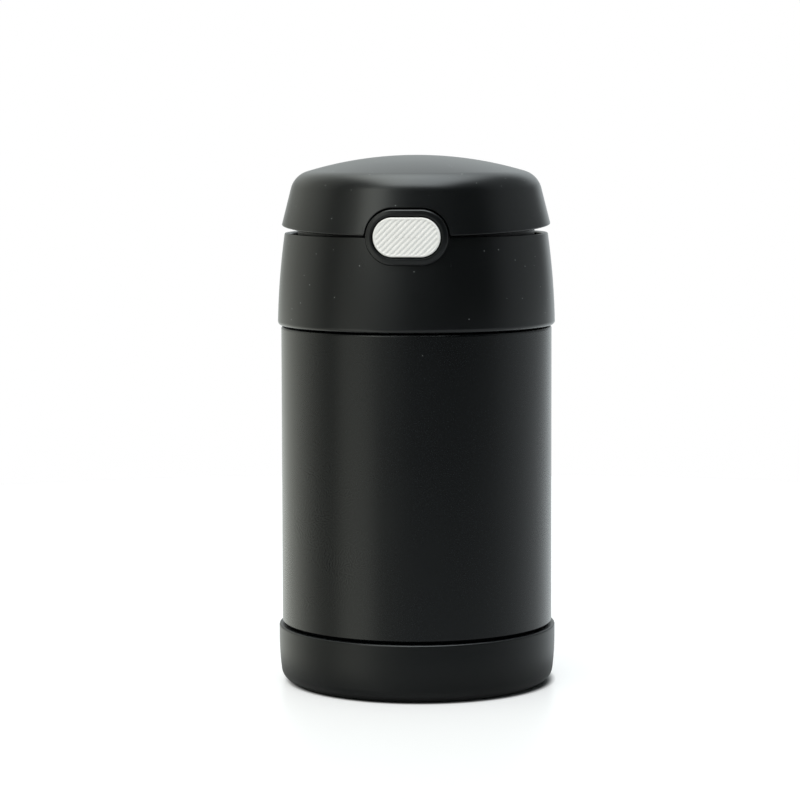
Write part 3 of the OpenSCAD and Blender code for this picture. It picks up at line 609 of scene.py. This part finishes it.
foot_in_r = float(collar_radius(collar_z + 2)) - collar_wall
foot_top = collar_z + 4
collar_foot = outline([
    (float(collar_radius(foot_top)), foot_top, 0),
    (collar_foot_r + 0.02, collar_z, collar_foot_round),
    (foot_in_r + 0.15, collar_z, 0.4), (foot_in_r, foot_top, 0),
], closed=False, steps=8)
collar_angle, collar_edge = slot_edge(
    (bezel_w - bezel_h) / 2, bezel_h / 2 + 0.05, bezel_z, -1, 0.3,
    lambda a: collar_top + 0 * a, collar_radius,
)
ear_arc = np.radians(np.linspace(-8, 208, 26))
ear_shape = np.concatenate([
    np.stack([hinge_y + barrel_r * np.cos(ear_arc), hinge_z + barrel_r * np.sin(ear_arc)], 1),
    [(hinge_y - barrel_r, collar_top - 0.5), (hinge_y - 1, collar_top - 4), (hinge_y, collar_top - 8),
     (hinge_y + 1.4, collar_top - 3.2)],
])
ledge_z = corner_box("spoon_tray")[0][2]
ledge_t, ledge_fits_z = 1.5, 142
ledge_r = float(collar_radius(ledge_fits_z)) - 1
tray_r = collar_top_r - 4.35
ledge = outline([
    (tray_r + 0.4, ledge_z, 0.2), (ledge_r, ledge_z, 0.2), (ledge_r, ledge_z + ledge_t, 0.2),
    (tray_r + 0.4, ledge_z + ledge_t, 0.2),
])
front_gap = 0.36


def ring_part(profile, steps=160):
    """A profile (r, z) carried round the back from one side of the front gap to the other."""
    angle = np.linspace(front_gap, 2 * math.pi - front_gap, steps)[None, :]
    return round_point(angle, profile[:-1, :1], profile[:-1, 1:])


def turned_about_z(skin, angle):
    """The skin turned about the jar's axis: x cos a - y sin a and x sin a + y cos a."""
    c, s = math.cos(angle), math.sin(angle)
    return skin @ np.array([[c, s, 0], [-s, c, 0], [0, 0, 1]])


rib_count, rib_half = 16, 0.6
collar_rib = block(
    (skirt_out_r + 0.05, -rib_half, skirt_z + 1), (ledge_r, rib_half, ledge_z + 0.05), 0.15
)
collar_ribs = [
    turned_about_z(collar_rib, 2 * math.pi * (k + 0.5) / rib_count) for k in range(rib_count)
]
lid_black = (0.0026, 0.0031, 0.0034)
piece(
    "lid_collar_moulding",
    [
        walled(collar_angle, collar_edge, collar_radius, collar_wall, -1, collar_foot, 0.45),
        ring_part(ledge),
        bar(ear_shape, ear_in, ear_out), bar(ear_shape, -ear_out, -ear_in),
        *collar_ribs,
    ],
    moulded("lid_plastic", lid_black, 0.27, dust=0.9), "lid_plastic", "lid", "lid_collar",
)


# ---- Tray ----
# Under the cap a shallow tray is fixed in the collar and holds the folded spoon. Its wall shows
# through the parting gap. At the front two walls and rails guide the latch slider.

tray_z, tray_top = ledge_z, corner_box("spoon_tray")[1][2]
tray_wall = 1.5
tray_in_r, tray_floor = tray_r - tray_wall, tray_z + tray_wall
tray_lip = outline([
    (tray_r, tray_top - 2, 0), (tray_r, tray_top, 0.5), (tray_in_r, tray_top, 0.5),
    (tray_in_r, tray_top - 2, 0),
], closed=False)
tray_floor_r = tray_r - 0.02
tray_floor_outline = outline([
    (0, tray_z, 0), (tray_floor_r, tray_z, 0.3), (tray_floor_r, tray_floor - 0.02, 0.1),
    (tray_in_r, tray_floor, 0.1), (0, tray_floor, 0),
], closed=False)
flange_z = tray_floor + 0.05
flange_top = flange_z + 1.2
flange_r = float(collar_radius(flange_top)) - collar_wall - 0.05
flange = outline([
    (tray_r - 0.5, flange_z, 0.2), (flange_r, flange_z, 0.2), (flange_r, flange_top, 0.2),
    (tray_r - 0.5, flange_top, 0.2),
])


def tray_radius(z):
    """Radius of the tray's wall, which is upright."""
    return tray_r + 0 * z


notch_half, notch_r, notch_z = 7.2, 3.6, 144.7
tray_angle, tray_edge = slot_edge(
    notch_half, notch_r, notch_z, 1, 0.3, lambda a: tray_z + 0.3 + 0 * a, tray_radius
)

slider_low, slider_high = corner_box("latch_slider")
wall_low = tray_floor - 0.1
pocket_x = slider_high[0] + 0.6
pocket_out_x = pocket_x + 1.2
pocket_front, pocket_y = 1.5 - tray_in_r, slider_high[1] + 4
pocket_back, pocket_top = pocket_y + 1.2, slider_high[2] + 0.6
rail_in, rail_out, rail_top = 6, 8, slider_low[2] - 0.2
pin_low, pin_high = corner_box("spoon_pin")
spoon_y = pin_low[1] / 2 + pin_high[1] / 2
bowl_low = corner_box("spoon_bowl")[0]
bowl_a, bowl_b = 21.5, 14.5
bowl_x = bowl_low[0] + bowl_a
fence_half, fence_t, fence_top = 6, 0.6, bowl_low[2] + 5.4
tray_walls = [block((-pocket_out_x, pocket_y, wall_low), (pocket_out_x, pocket_back, pocket_top))]
for side in (-1, 1):
    fence_y = spoon_y + side * (bowl_b + 1)
    tray_walls += [
        block((side * pocket_x, pocket_front, wall_low), (side * pocket_out_x, pocket_back, pocket_top)),
        block((side * rail_in, pocket_front, wall_low), (side * rail_out, pocket_y + 0.6, rail_top), 0.15),
        block(
            (bowl_x - fence_half, fence_y - fence_t, wall_low),
            (bowl_x + fence_half, fence_y + fence_t, fence_top),
        ),
    ]
post_x, post_half, post_top = pin_low[0] - 0.5, 3, pin_low[2] - 1.4
spoon_post = block(
    (post_x, spoon_y - post_half, wall_low), (post_x + post_half, spoon_y + post_half, post_top)
)
piece(
    "spoon_tray_moulding",
    [
        walled(tray_angle, tray_edge, tray_radius, tray_wall, 1, tray_lip, 0.2),
        revolved(tray_floor_outline), ring_part(flange), *tray_walls, spoon_post,
    ],
    moulded("tray_plastic", (0.022, 0.022, 0.023), 0.4), "tray_plastic", "lid", "spoon_tray",
)


# ---- Button surround ----
# A black slot-shaped surround stands out of the collar around the button. Its face is bowed round
# the jar and has a soft outer edge, and its lower half runs into the collar in a small cove.

def slot_path(width, height, arc=60, flat=14):
    """Spine points and outward directions round an upright slot shape, counterclockwise as seen
    from the front, from the lower left end of its lower straight side."""
    half = (width - height) / 2
    t = np.linspace(0, 1, flat, endpoint=False)
    q = np.linspace(0, 1, arc, endpoint=False) * math.pi
    spine = np.concatenate([
        -half + 2 * half * t, np.full(arc, half), half - 2 * half * t, np.full(arc, -half)
    ])
    turn = np.concatenate([
        np.full(flat, -math.pi / 2), q - math.pi / 2, np.full(flat, math.pi / 2), q + math.pi / 2
    ])
    return spine, np.cos(turn), np.sin(turn)


def slot_skin(path, reach, depth, middle):
    """Slot-shaped skin: each row is the slot path set out from its spine by a reach, at a depth
    along Y. Reach and depth hold one value, or one for each path point, per row."""
    spine, across, up = (part[:, None] for part in path)
    x = spine + across * reach
    z = middle + up * reach
    return np.stack([x, np.broadcast_to(depth, x.shape), z], -1)


button_w, button_h = 21.5, 12.6
button_gap = 0.45
bezel_back, bezel_step = 4 - collar_top_r, bezel_y + 1.6
bezel_wall, bezel_cove = 1.1, 0.2
face_bow = 72.0


def bowed(skin, first, last):
    """The skin with the columns of its face set back by x squared / (2 * face_bow), so that the
    face is bowed round the jar."""
    skin[:, first:last, 1] += skin[:, first:last, 0] ** 2 / (2 * face_bow)
    return skin


def bezel_skin():
    """Section of the surround round its slot path: opening, crowned face, outer edge, side wall,
    cove, then behind the collar the back and the inside wall. The cove is a quarter circle that
    meets the collar's face. It fades out over 1.5 mm below the collar's top."""
    path = slot_path(bezel_w, bezel_h)
    spine, across, up = path
    outer = bezel_h / 2
    opening = button_h / 2 + button_gap
    front = outline([
        (opening, bezel_step, 0.1), (opening, bezel_y + 0.1, 0.15), (opening + 0.6, bezel_y, 0.8),
        (outer, bezel_y + 0.25, 0.45), (outer, bezel_y + 4, 0),
    ], closed=False, steps=8)
    front = np.concatenate([[(opening, bezel_step)], front[1:-1]])
    z = bezel_z + up * outer
    share = eased(np.clip((collar_top - 0.3 - z) / 1.5, 0, 1))
    cove_here = np.maximum(bezel_cove * share, 0.01)
    x_far, z_far = spine + across * (outer + cove_here), bezel_z + up * (outer + cove_here)
    below = np.minimum(z_far, collar_top)
    collar_y = -np.sqrt(collar_radius(below) ** 2 - x_far ** 2)
    q = np.linspace(0, math.pi / 2, 6)[None, :]
    reach = outer + cove_here[:, None] * (1 - np.cos(q))
    depth = (collar_y + 0.02)[:, None] - cove_here[:, None] * (1 - np.sin(q))
    inner = outer - bezel_wall

    def all_round(*values):
        return np.broadcast_to(values, (len(spine), len(values)))

    reach = np.concatenate([
        all_round(*front[:, 0]), reach, all_round(outer, outer, inner, inner, opening)
    ], 1)
    depth = np.concatenate([
        all_round(*front[:, 1]), depth, depth[:, -1:] + 0.8,
        all_round(bezel_back, bezel_back, bezel_step, bezel_step),
    ], 1)
    return bowed(slot_skin(path, reach, depth, bezel_z), 1, len(front))


piece(
    "button_surround", [bezel_skin()], moulded("surround_plastic", lid_black, 0.28),
    "lid_plastic", "lid", "button_bezel",
)


# ---- Hinge ----
# The cap turns on a ground steel pin between the collar's ears. A coiled spring of steel wire round
# the pin, with a leg on the collar and one on the cap, throws the cap open.

pin_steel = steel("pin_steel", (0.56, 0.55, 0.54), 0.3, grain=(0.3, 3, 3))
hinge_low, hinge_high = corner_box("hinge_pin")
axle_r = 1.2
piece(
    "hinge_axle", [rod(axle_r, hinge_low[0], hinge_high[0], hinge_y, hinge_z)], pin_steel,
    "pin_steel", "lid", "hinge_pin",
)


def tube(path, r, around=10):
    """Round wire along a path: at each point a circle in the plane square to the path."""
    along = np.gradient(path, axis=0)
    along /= np.linalg.norm(along, axis=1)[:, None]
    side = np.cross(along, np.where(np.abs(along[:, :1]) < 0.9, [[1, 0, 0]], [[0, 1, 0]]))
    side /= np.linalg.norm(side, axis=1)[:, None]
    across = np.cross(along, side)
    a = np.linspace(0, 2 * math.pi, around, endpoint=False)[:, None, None]
    return path + r * (np.cos(a) * side + np.sin(a) * across)


spring_steel = steel("spring_steel", (0.50, 0.50, 0.50), 0.34, grain=(2, 2, 2))
coil_r, coil_half, coil_turns, coil_wire = 1.75, 2.9, 4, 0.3
coil_share = np.linspace(0, 1, 161)
coil_angle = math.pi - 2 * math.pi * coil_turns * coil_share
leg_y = hinge_y - coil_r
coil = np.stack([
    -coil_half + 2 * coil_half * coil_share, hinge_y + coil_r * np.cos(coil_angle),
    hinge_z + coil_r * np.sin(coil_angle),
], 1)
# One leg goes straight down behind the collar, the other up and a little inwards into the cap.
lower_leg = np.linspace((-coil_half, leg_y, collar_top - 4), (-coil_half, leg_y, hinge_z - 0.3), 8)
upper_leg = np.concatenate([
    np.linspace((coil_half, leg_y, hinge_z + 0.3), (coil_half, leg_y - 0.2, hinge_z + 3), 6),
    np.linspace((coil_half, leg_y - 0.3, hinge_z + 3.6), (coil_half, leg_y - 1, hinge_z + 6), 5),
])
piece(
    "hinge_torsion_spring", [tube(np.concatenate([lower_leg, coil, upper_leg]), coil_wire)],
    spring_steel, "spring_steel", "lid", "hinge_spring",
)


# ---- Spoon ----
# The folding spoon is pressed from stainless sheet: a deep oval bowl with a stem, a round-ended
# handle with a hole, and a riveted pin between the handle's fork and the bowl's knuckle.

spoon_steel = steel("spoon_steel", (0.64, 0.63, 0.62), 0.24, grain=(8, 0.4, 1), size=0.2)
sheet_t = 0.9
bowl_depth, bowl_narrowing = 6.4, 0.12
bowl_rim = bowl_low[2] + bowl_depth


def bowl_skin():
    """Bowl of sheet steel: at share f of the way out and angle a, a point lies f along an ellipse
    that narrows towards the stem, at a depth that rises with f squared; the rim is rounded over."""
    f = np.linspace(0.0, 0.97, 22)
    a = np.linspace(0, 2 * math.pi, 96, endpoint=False)[:, None]
    edge = np.linspace(-math.pi / 2, math.pi / 2, 7)
    inner_f = np.concatenate([f, 0.972 + 0.02 * np.cos(edge), f[::-1]])
    up = np.concatenate([0 * f, sheet_t / 2 + sheet_t / 2 * np.sin(edge), sheet_t + 0 * f])
    x = bowl_x + inner_f * bowl_a * np.cos(a)
    y = spoon_y + inner_f * bowl_b * np.sin(a) * (1 - bowl_narrowing * inner_f * np.cos(a))
    z = bowl_low[2] + (bowl_depth - sheet_t) * inner_f ** 2 + up + 0 * a
    return np.stack([x, y, z], -1)


def flat_along_y(skin):
    """The same skin with its X and Y axes exchanged."""
    return skin[..., [1, 0, 2]]


pin_x, pin_z = (pin_low[0] + pin_high[0]) / 2, (pin_low[2] + pin_high[2]) / 2
pin_r = (pin_high[2] - pin_low[2]) / 2
knuckle_r, knuckle_half = pin_r + 1.2, 1.7
stem_x, stem_half = bowl_x + bowl_a - 2.2, 3.5
stem = block(
    (stem_x, spoon_y - stem_half, bowl_rim - sheet_t), (pin_x, spoon_y + stem_half, bowl_rim), 0.25
)
piece(
    "spoon_bowl_pressing",
    [
        bowl_skin(), stem,
        flat_along_y(rod(knuckle_r, spoon_y - knuckle_half, spoon_y + knuckle_half, pin_x, pin_z)),
    ],
    spoon_steel, "spoon_steel", "lid", "spoon_bowl",
)
handle_low, handle_high = corner_box("spoon_handle")
handle_z = handle_high[2] - sheet_t
handle_r = (handle_high[1] - handle_low[1]) / 2
hole_r = 2


def handle_plate():
    """Plate with a hole: faces ruled from a circle of 2 mm radius to a round-ended outline, with
    quarter circles at all four of its edges."""
    end = handle_low[0] + handle_r
    far = pin_x - knuckle_r - 0.5
    q = np.radians(np.linspace(90, 270, 49))
    ring = np.concatenate([
        np.stack([end + handle_r * np.cos(q), handle_r * np.sin(q)], 1),
        np.stack([np.linspace(end, far, 14)[1:], np.full(13, -handle_r)], 1),
        np.stack([np.full(9, far), np.linspace(-handle_r, handle_r, 11)[1:-1]], 1),
        np.stack([np.linspace(far, end, 14)[:-1], np.full(13, handle_r)], 1),
    ])
    hole_x = end + 1
    turn = np.arctan2(ring[:, 1], ring[:, 0] - hole_x)
    hole = np.stack([hole_x + hole_r * np.cos(turn), hole_r * np.sin(turn)], 1)
    width = np.linalg.norm(ring - hole, axis=1)[:, None]
    bend = 0.25
    flat_from = [[bend + 0.2]]
    e = np.linspace(0, math.pi / 2, 5)[None, :]
    top_in = bend * (1 - np.sin(e))
    top_up = sheet_t - bend * (1 - np.cos(e))
    inset = np.concatenate([flat_from, top_in, top_in[:, ::-1], flat_from], 1)
    far_up = np.concatenate([[[sheet_t]], top_up, sheet_t - top_up[:, ::-1], [[0]]], 1)
    share = np.concatenate([0 * width + inset, width - inset], 1) / width
    up = np.concatenate([far_up[:, ::-1], far_up], 1)
    flat = hole[:, None] + (ring - hole)[:, None] * share[..., None]
    skin = np.concatenate([flat, np.broadcast_to(up, share.shape)[..., None]], -1)
    skin = skin + np.array([0, spoon_y, handle_z])
    return np.concatenate([skin, skin[:, :1]], 1)


fork, fork_gap = [], 1.9
for side in (-1, 1):
    near_y, far_y = spoon_y + side * fork_gap, spoon_y + side * handle_r
    fork += [
        block((pin_x - knuckle_r - 1, near_y, handle_z), (pin_x, far_y, handle_z + sheet_t), 0.2),
        flat_along_y(rod(knuckle_r, min(near_y, far_y), max(near_y, far_y), pin_x, pin_z)),
    ]
piece(
    "spoon_handle_pressing", [handle_plate(), *fork], spoon_steel,
    "spoon_steel", "lid", "spoon_handle",
)
piece(
    "spoon_rivet", [flat_along_y(rod(pin_r, pin_low[1], pin_high[1], pin_x, pin_z))],
    pin_steel, "pin_steel", "lid", "spoon_pin",
)


# ---- Cap ----
# The flip cap is one black moulding: a cone under a shallow dome, with a tilted rim that is notched
# round the surround, and two knuckles on webs at the back. A cover with the latch hook lines it.

cap_top = corner_box("cap_shell")[1][2]
cap_foot_r = collar_top_r + 1.6
cap_draft = math.radians(14.2)
cap_round = 8.0
dome_r = 125.0
dome_centre = cap_top - dome_r
cap_wall = 1.8
rim_front, rim_back = 0.4, 5.3
rim_slope = (rim_back - rim_front) / (2 * cap_foot_r)
notch_gap = 0.5


def cap_radius(z):
    """Radius of the cap's conical side."""
    return cap_foot_r - (z - collar_top) * math.tan(cap_draft)


def cap_rim(angle):
    """Height of the rim: a plane that rises from the front to the back, met by the cone."""
    z = collar_top + rim_front + 0 * angle
    for _ in range(4):
        z = collar_top + rim_front + (cap_foot_r - cap_radius(z) * np.cos(angle)) * rim_slope
    return z


def crown(inset):
    """Profile from the top of the cone over the shoulder's arc and the dome's arc to the axis, set
    in by an inset. The shoulder's arc touches both the cone and the dome."""
    fit = dome_r - cap_round
    side = cap_foot_r * math.cos(cap_draft) + (collar_top - dome_centre) * math.sin(cap_draft)
    tilt = math.asin((side - cap_round) / fit)
    lean = tilt - cap_draft
    shoulder = np.linspace(cap_draft, math.pi / 2 - lean, 26)
    dome = np.linspace(math.pi / 2 - lean, math.pi / 2, 48)[1:]
    x, z = fit * math.sin(lean), dome_centre + fit * math.cos(lean)
    small, large = cap_round - inset, dome_r - inset
    return np.concatenate([
        np.stack([x + small * np.cos(shoulder), z + small * np.sin(shoulder)], 1),
        np.stack([large * np.cos(dome), dome_centre + large * np.sin(dome)], 1),
    ])


cap_angle, cap_edge = slot_edge(
    (bezel_w - bezel_h) / 2, bezel_h / 2 + notch_gap, bezel_z, 1, 0.7, cap_rim, cap_radius
)
cap_profile = np.concatenate([crown(0), crown(cap_wall)[::-1]])
web_arc = np.radians(np.linspace(160, 380, 26))
web_y = float(cap_radius(hinge_z + 5)) - 0.45
knuckle_shape = np.concatenate([
    np.stack([hinge_y + barrel_r * np.cos(web_arc), hinge_z + barrel_r * np.sin(web_arc)], 1),
    [(hinge_y + 0.9, hinge_z + 4.0), (web_y, hinge_z + 5.5), (hinge_y - 2.2, hinge_z + 5.5),
     (hinge_y - 2.3, hinge_z + 2.5)],
])
knuckle_in, knuckle_out = 3.6, 7.6
piece(
    "flip_cap",
    [
        walled(cap_angle, cap_edge, cap_radius, cap_wall, 1, cap_profile, 0.3),
        bar(knuckle_shape, knuckle_in, knuckle_out), bar(knuckle_shape, -knuckle_out, -knuckle_in),
    ],
    moulded("cap_plastic", lid_black, 0.27, dust=0.9), "lid_plastic", "cap", "cap_shell",
)

cover_low = bezel_z + bezel_h / 2 + notch_gap
cover_out, cover_in = cap_wall + 0.1, cap_wall + 1.4
cover_foot = [
    (cap_radius(cover_low) - inset / math.cos(cap_draft), cover_low)
    for inset in (cover_in, cover_out)
]
cover_profile = np.concatenate([crown(cover_in)[::-1], cover_foot, crown(cover_out)])
hook_y, hook_z, hook_top = 0.6 - tray_in_r, 148.6, cap_top - 9
hook_half, hook_t = 4.5, 1.4
web_in, web_out, web_back = 2.4, 3.6, hook_y + 6
hook = [
    block((-hook_half, hook_y, hook_z), (hook_half, hook_y + hook_t, hook_top)),
    block((-hook_half, hook_y + 1.2, hook_z), (hook_half, hook_y + 2.6, hook_z + 1.3), 0.25),
]
hook += [
    block((side * web_in, hook_y, cover_low), (side * web_out, web_back, hook_top))
    for side in (-1, 1)
]
piece(
    "cap_cover", [revolved(cover_profile), *hook],
    moulded("cap_cover_plastic", (0.03, 0.03, 0.031), 0.42), "tray_plastic", "cap", "cap_liner",
)


# ---- Button ----
# The latch button is a white moulding with a flange behind the surround. Soft ribs at 45 degrees
# cross its face inside a plain border. It pushes a slider with a nose, and a coil spring returns it.

button_low, button_high = corner_box("button")
rib_pitch, rib_depth = 1.36, 0.32
plain_border, rib_fade = 0.55, 0.45


def button_skin():
    """Slot-shaped button from the middle of its face to the middle of its back. On the face the
    height falls by a cosine of the distance along the 45 degree line, to the power of 1.5, and
    fades out at the border."""
    path = slot_path(button_w, button_h, 130, 160)
    outer = button_h / 2
    face, back = button_low[1], button_high[1]
    bend, least = 0.45, 0.001
    q = np.linspace(0, math.pi / 2, 7)
    field = np.linspace(least, outer - bend - 0.02, 70)
    flange_out = outer + 1.2
    reach = np.concatenate([
        field, outer - bend * (1 - np.sin(q)),
        [outer, outer, flange_out, flange_out, flange_out - 0.3, least],
    ])
    depth = np.concatenate([
        face + 0 * field, face + bend * (1 - np.cos(q)),
        [back - 1.3, back - 1.0, back - 1.0, back - 0.1, back, back],
    ])
    skin = slot_skin(path, reach[None], depth[None], bezel_z)
    x, z = skin[..., 0], skin[..., 2] - bezel_z
    face_columns = len(field) + len(q)
    inside = eased(np.clip((outer - plain_border - reach) / rib_fade, 0, 1))
    inside = inside * (np.arange(len(reach)) < face_columns)
    wave = 0.5 - 0.5 * np.cos(2 * math.pi * (x - z) / math.sqrt(2) / rib_pitch)
    skin[..., 1] += rib_depth * wave ** 1.5 * inside
    return bowed(skin, 0, face_columns)


def white_plastic():
    """Satin white moulding with fine grain and faint drift of tone. From white_t behind the face it
    turns black: painted shade for the narrow gap round the button, where its white flange and
    sides would show. The depth is taken without the bow, x squared / (2 * face_bow)."""
    dark, light, gap_shade_black = (0.845, 0.82, 0.79), (0.895, 0.87, 0.84), (0.004, 0.004, 0.0045)
    smoothest, white_t, edge_t = 0.38, 0.42, 0.1
    skin = Finish("button_plastic", light, smoothest)
    fine, slow = skin.noise(size=0.3), skin.noise(size=6)
    side, depth = (skin.add("SeparateXYZ", {}, axis, Vector=skin.place) for axis in "XY")
    depth = depth - side * side * (1000 / (2 * face_bow))
    white_to = button_low[1] + white_t
    gap_shade_mask = depth.over(white_to / 1000, (white_to + edge_t) / 1000)
    # Painted shade: black from white_t behind the face, so that the gap round the button looks dark.
    skin.set("Base Color", skin.blend(gap_shade_mask, skin.blend(slow, dark, light), gap_shade_black))
    skin.set("Roughness", smoothest + fine * 0.08)
    skin.set("Normal", skin.bump(fine, 0.004))
    return skin.material


piece(
    "push_button_cap", [button_skin()], white_plastic(), "button_plastic", "push_button", "button"
)

slider_front, slider_z = slider_low[1:]
slider_x, slider_back, slider_top = slider_high
upright_t, upright_front = 1.5, slider_back - 1.5
nose_half, nose_front, nose_z = 5, upright_front - 1.3, slider_top - 1.8
arm_t, arm_top = 2, slider_z + 2.8
slider_blocks = [
    block((-slider_x, slider_front, slider_z), (slider_x, slider_front + upright_t, slider_top)),
    block((-slider_x, upright_front, slider_z), (slider_x, slider_back, slider_top)),
    block((-nose_half, nose_front, nose_z), (nose_half, upright_front + 0.2, slider_top)),
]
slider_blocks += [
    block(
        (side * slider_x, slider_front + 0.2, slider_z),
        (side * (slider_x - arm_t), slider_back - 0.2, arm_top),
    )
    for side in (-1, 1)
]
piece(
    "latch_slider_moulding", slider_blocks, moulded("slider_plastic", (0.62, 0.62, 0.60), 0.4),
    "slider_plastic", "push_button", "latch_slider",
)

spring_low, spring_high = corner_box("button_spring")
return_r, return_turns, return_wire = 1.9, 4, 0.2
return_share = np.linspace(0, 1, 121)
return_angle = 2 * math.pi * return_turns * return_share
return_y, return_end = spring_low[1] + return_wire, spring_high[1] - return_wire
spring_z = (spring_low[2] + spring_high[2]) / 2
return_coil = np.stack([
    return_r * np.cos(return_angle), return_y + (return_end - return_y) * return_share,
    spring_z + return_r * np.sin(return_angle),
], 1)
piece(
    "button_return_spring", [tube(return_coil, return_wire, around=8)], spring_steel,
    "spring_steel", "push_button", "button_spring",
)


# ---- Studio ----
# The jar stands on a white floor under one soft lamp. Its black faces mirror a room of soft bright
# panels, a strobe and a soft box, and past the jar the camera sees plain white.

floor_radius = 0.55
floor_angle = np.linspace(0, 2 * math.pi, 96, endpoint=False)
floor_x, floor_y = floor_radius * np.cos(floor_angle), floor_radius * np.sin(floor_angle)
floor_mesh = bpy.data.meshes.new("floor")
floor_mesh.from_pydata(
    np.stack([floor_x, floor_y, 0 * floor_angle], 1).tolist(), [], [list(range(len(floor_angle)))]
)
floor = bpy.data.objects.new("floor", floor_mesh)
bpy.context.scene.collection.objects.link(floor)


def white_surface():
    """Satin white floor. To the camera it glows up to white from just outside the jar's foot. Nearer
    the foot the glow is withheld and its colour turns dark grey: a painted contact shadow, centred
    a little right of and in front of the axis. Mirrored rays pass through the floor further out.
    Both follow the distance from that point near the jar's axis, in metres."""
    def grey(level):
        return (level, level, level)

    plain, plain_seen, contact_shadow, added_glow = grey(0.32), grey(0.56), grey(0.07), grey(0.43)
    contact_shadow_r, glow_r, solid_r, clear_r = 0.0425, 0.0458, 0.050, 0.085
    shadow_aside = (-0.0013, 0.0010, 0)
    skin = Finish("white_floor", plain, 0.35)
    seen = skin.add("LightPath", {}, "Is Camera Ray")
    glossy = skin.add("LightPath", {}, "Is Glossy Ray")
    from_foot = skin.add("Mapping", {}, Vector=skin.place, Location=shadow_aside)
    distance = skin.add("VectorMath", {"operation": "LENGTH"}, "Value", s0=from_foot)
    # Painted contact shadow: near the foot the camera sees no glow and a dark grey colour.
    glow = seen * distance.over(contact_shadow_r, glow_r)
    skin.set("Base Color", skin.blend(seen - glow, skin.blend(seen, plain, plain_seen), contact_shadow))
    skin.set("Emission Color", skin.blend(glow, grey(0.0), added_glow))
    skin.set("Emission Strength", 1.0)
    skin.set("Alpha", 1 - glossy * distance.over(solid_r, clear_r))
    return skin.material


floor.data.materials.append(white_surface())

lamp_side, lamp_radiance = 1.0, 2.4
lamp_data = bpy.data.lights.new("top_light", "AREA")
lamp_data.shape, lamp_data.size, lamp_data.size_y = "RECTANGLE", lamp_side, lamp_side
lamp_data.energy = lamp_radiance * math.pi * lamp_side * lamp_side
lamp_data.cycles.use_multiple_importance_sampling = False
top_light = bpy.data.objects.new("top_light", lamp_data)
top_light.location = (-0.25, -0.40, 1.25)
top_light.visible_glossy = False
bpy.context.scene.collection.objects.link(top_light)

room = bpy.data.worlds.new("room")
bpy.context.scene.world = room
room.cycles.sampling_method = "NONE"
sky = Nodes(room, "Background")
aim = sky.add("TexCoord", {}, "Generated")
across, behind, above = (sky.add("SeparateXYZ", {}, axis, Vector=aim) for axis in "XYZ")
level = sky.add("CombineXYZ", {}, X=across, Y=behind)
level = sky.add("VectorMath", {"operation": "LENGTH"}, "Value", s0=level)


def panel(azimuth, full, none):
    """1 within full degrees of an azimuth, counted from the front towards +X, and 0 beyond none."""
    turned = math.radians(azimuth)
    along = (across * math.sin(turned) - behind * math.cos(turned)) / level
    return along.over(math.cos(math.radians(none)), math.cos(math.radians(full)))


def fall(low, high, by=1):
    """1 below one height and less by a share above another: level is 0 and straight up is 1."""
    return 1 - above.over(low, high) * by


# Below the horizon: the pale floor, which fades towards the camera, and the panels' gleam on it.
down = (0 - above).over(0.11, 0.20)
low = (0.45 + behind / level * 0.55).most(down * 0.48) + down * 0.04
for azimuth, full, none, strength in ((-49, 4, 22, 0.80), (-140, 0, 55, 0.42), (160, 0, 33, 0.22)):
    low = low + panel(azimuth, full, none) * strength

# Above it: a large panel at the left, dimmer ones at the right and the front, and a bright back.
high = sum([
    panel(-115, 5, 46) * fall(0.40, 0.60, 0.2) * 0.78,
    panel(105, 8, 39) * 0.35,
    panel(-40, 8, 40) * 0.50,
    panel(-15, 10, 50) * above.over(0.03, 0.13) * fall(0.15, 0.35) * 0.30,
    panel(180, 14, 37) * 0.60,
    panel(180, 14, 60) * above.over(0.10, 0.35) * 0.45,
    panel(180, 5, 42) * fall(0.02, 0.20) * 0.40,
    panel(155, 0, 30) * fall(0.30, 0.50) * 0.20,
    panel(-150, 5, 38) * above.over(0.45, 0.65) * 0.24,
])
horizon = above.over(-0.15, 0.02)

# The strobe is a round glow, full within 7 degrees of its direction and gone beyond 15. The soft
# box is an oblong on a ceiling, where a look that rises by 1 goes across by ceiling_x and back by
# ceiling_y.
strobe_x, strobe_y, strobe_z, strobe_strength = -0.524, -0.721, 0.454, 2.3
strobe = (across * strobe_x + behind * strobe_y + above * strobe_z).over(0.966, 0.9925)
rise, softbox_strength = above.most(0.02), 5.0
ceiling_x, ceiling_y = across / rise, behind / rise
softbox = ceiling_x.over(-0.66, -0.24) * (1 - ceiling_x.over(0.29, 0.73))
softbox = softbox * ceiling_y.over(-1.0, -0.64) * (1 - ceiling_y.over(-0.25, 1.1))
mirrored = low + (high - low) * horizon + strobe * strobe_strength + softbox * softbox_strength

is_diffuse = sky.add("LightPath", {}, "Is Diffuse Ray")
is_camera = sky.add("LightPath", {}, "Is Camera Ray")
plain_light, warm, cool, white = 0.97, (0.97, 1.0, 0.90), (0.92, 0.99, 1.01), (1, 1, 1)
lit = mirrored * (1 - is_diffuse) + is_diffuse * plain_light
sky.set("Color", sky.blend(is_camera, sky.blend(across.over(-0.9, 0.2), warm, cool), white))
sky.set("Strength", lit * (1 - is_camera) + is_camera)

# A long lens about 0.93 m away, a little above the jar's top, looking slightly down.
camera_data = bpy.data.cameras.new("camera")
camera_data.lens, camera_data.sensor_width = 126.75, 36.0
camera_data.shift_x, camera_data.shift_y = -0.0016, -0.101
camera = bpy.data.objects.new("camera", camera_data)
bpy.context.scene.collection.objects.link(camera)
camera.location = (0.0636, -0.9324, 0.1837)
looks_down, leans, turns_left = 3.885, 0.147, 4.200
camera.rotation_euler = [math.radians(angle) for angle in (90 - looks_down, leans, turns_left)]
bpy.context.scene.camera = camera
bpy.context.scene.view_settings.view_transform = "Standard"
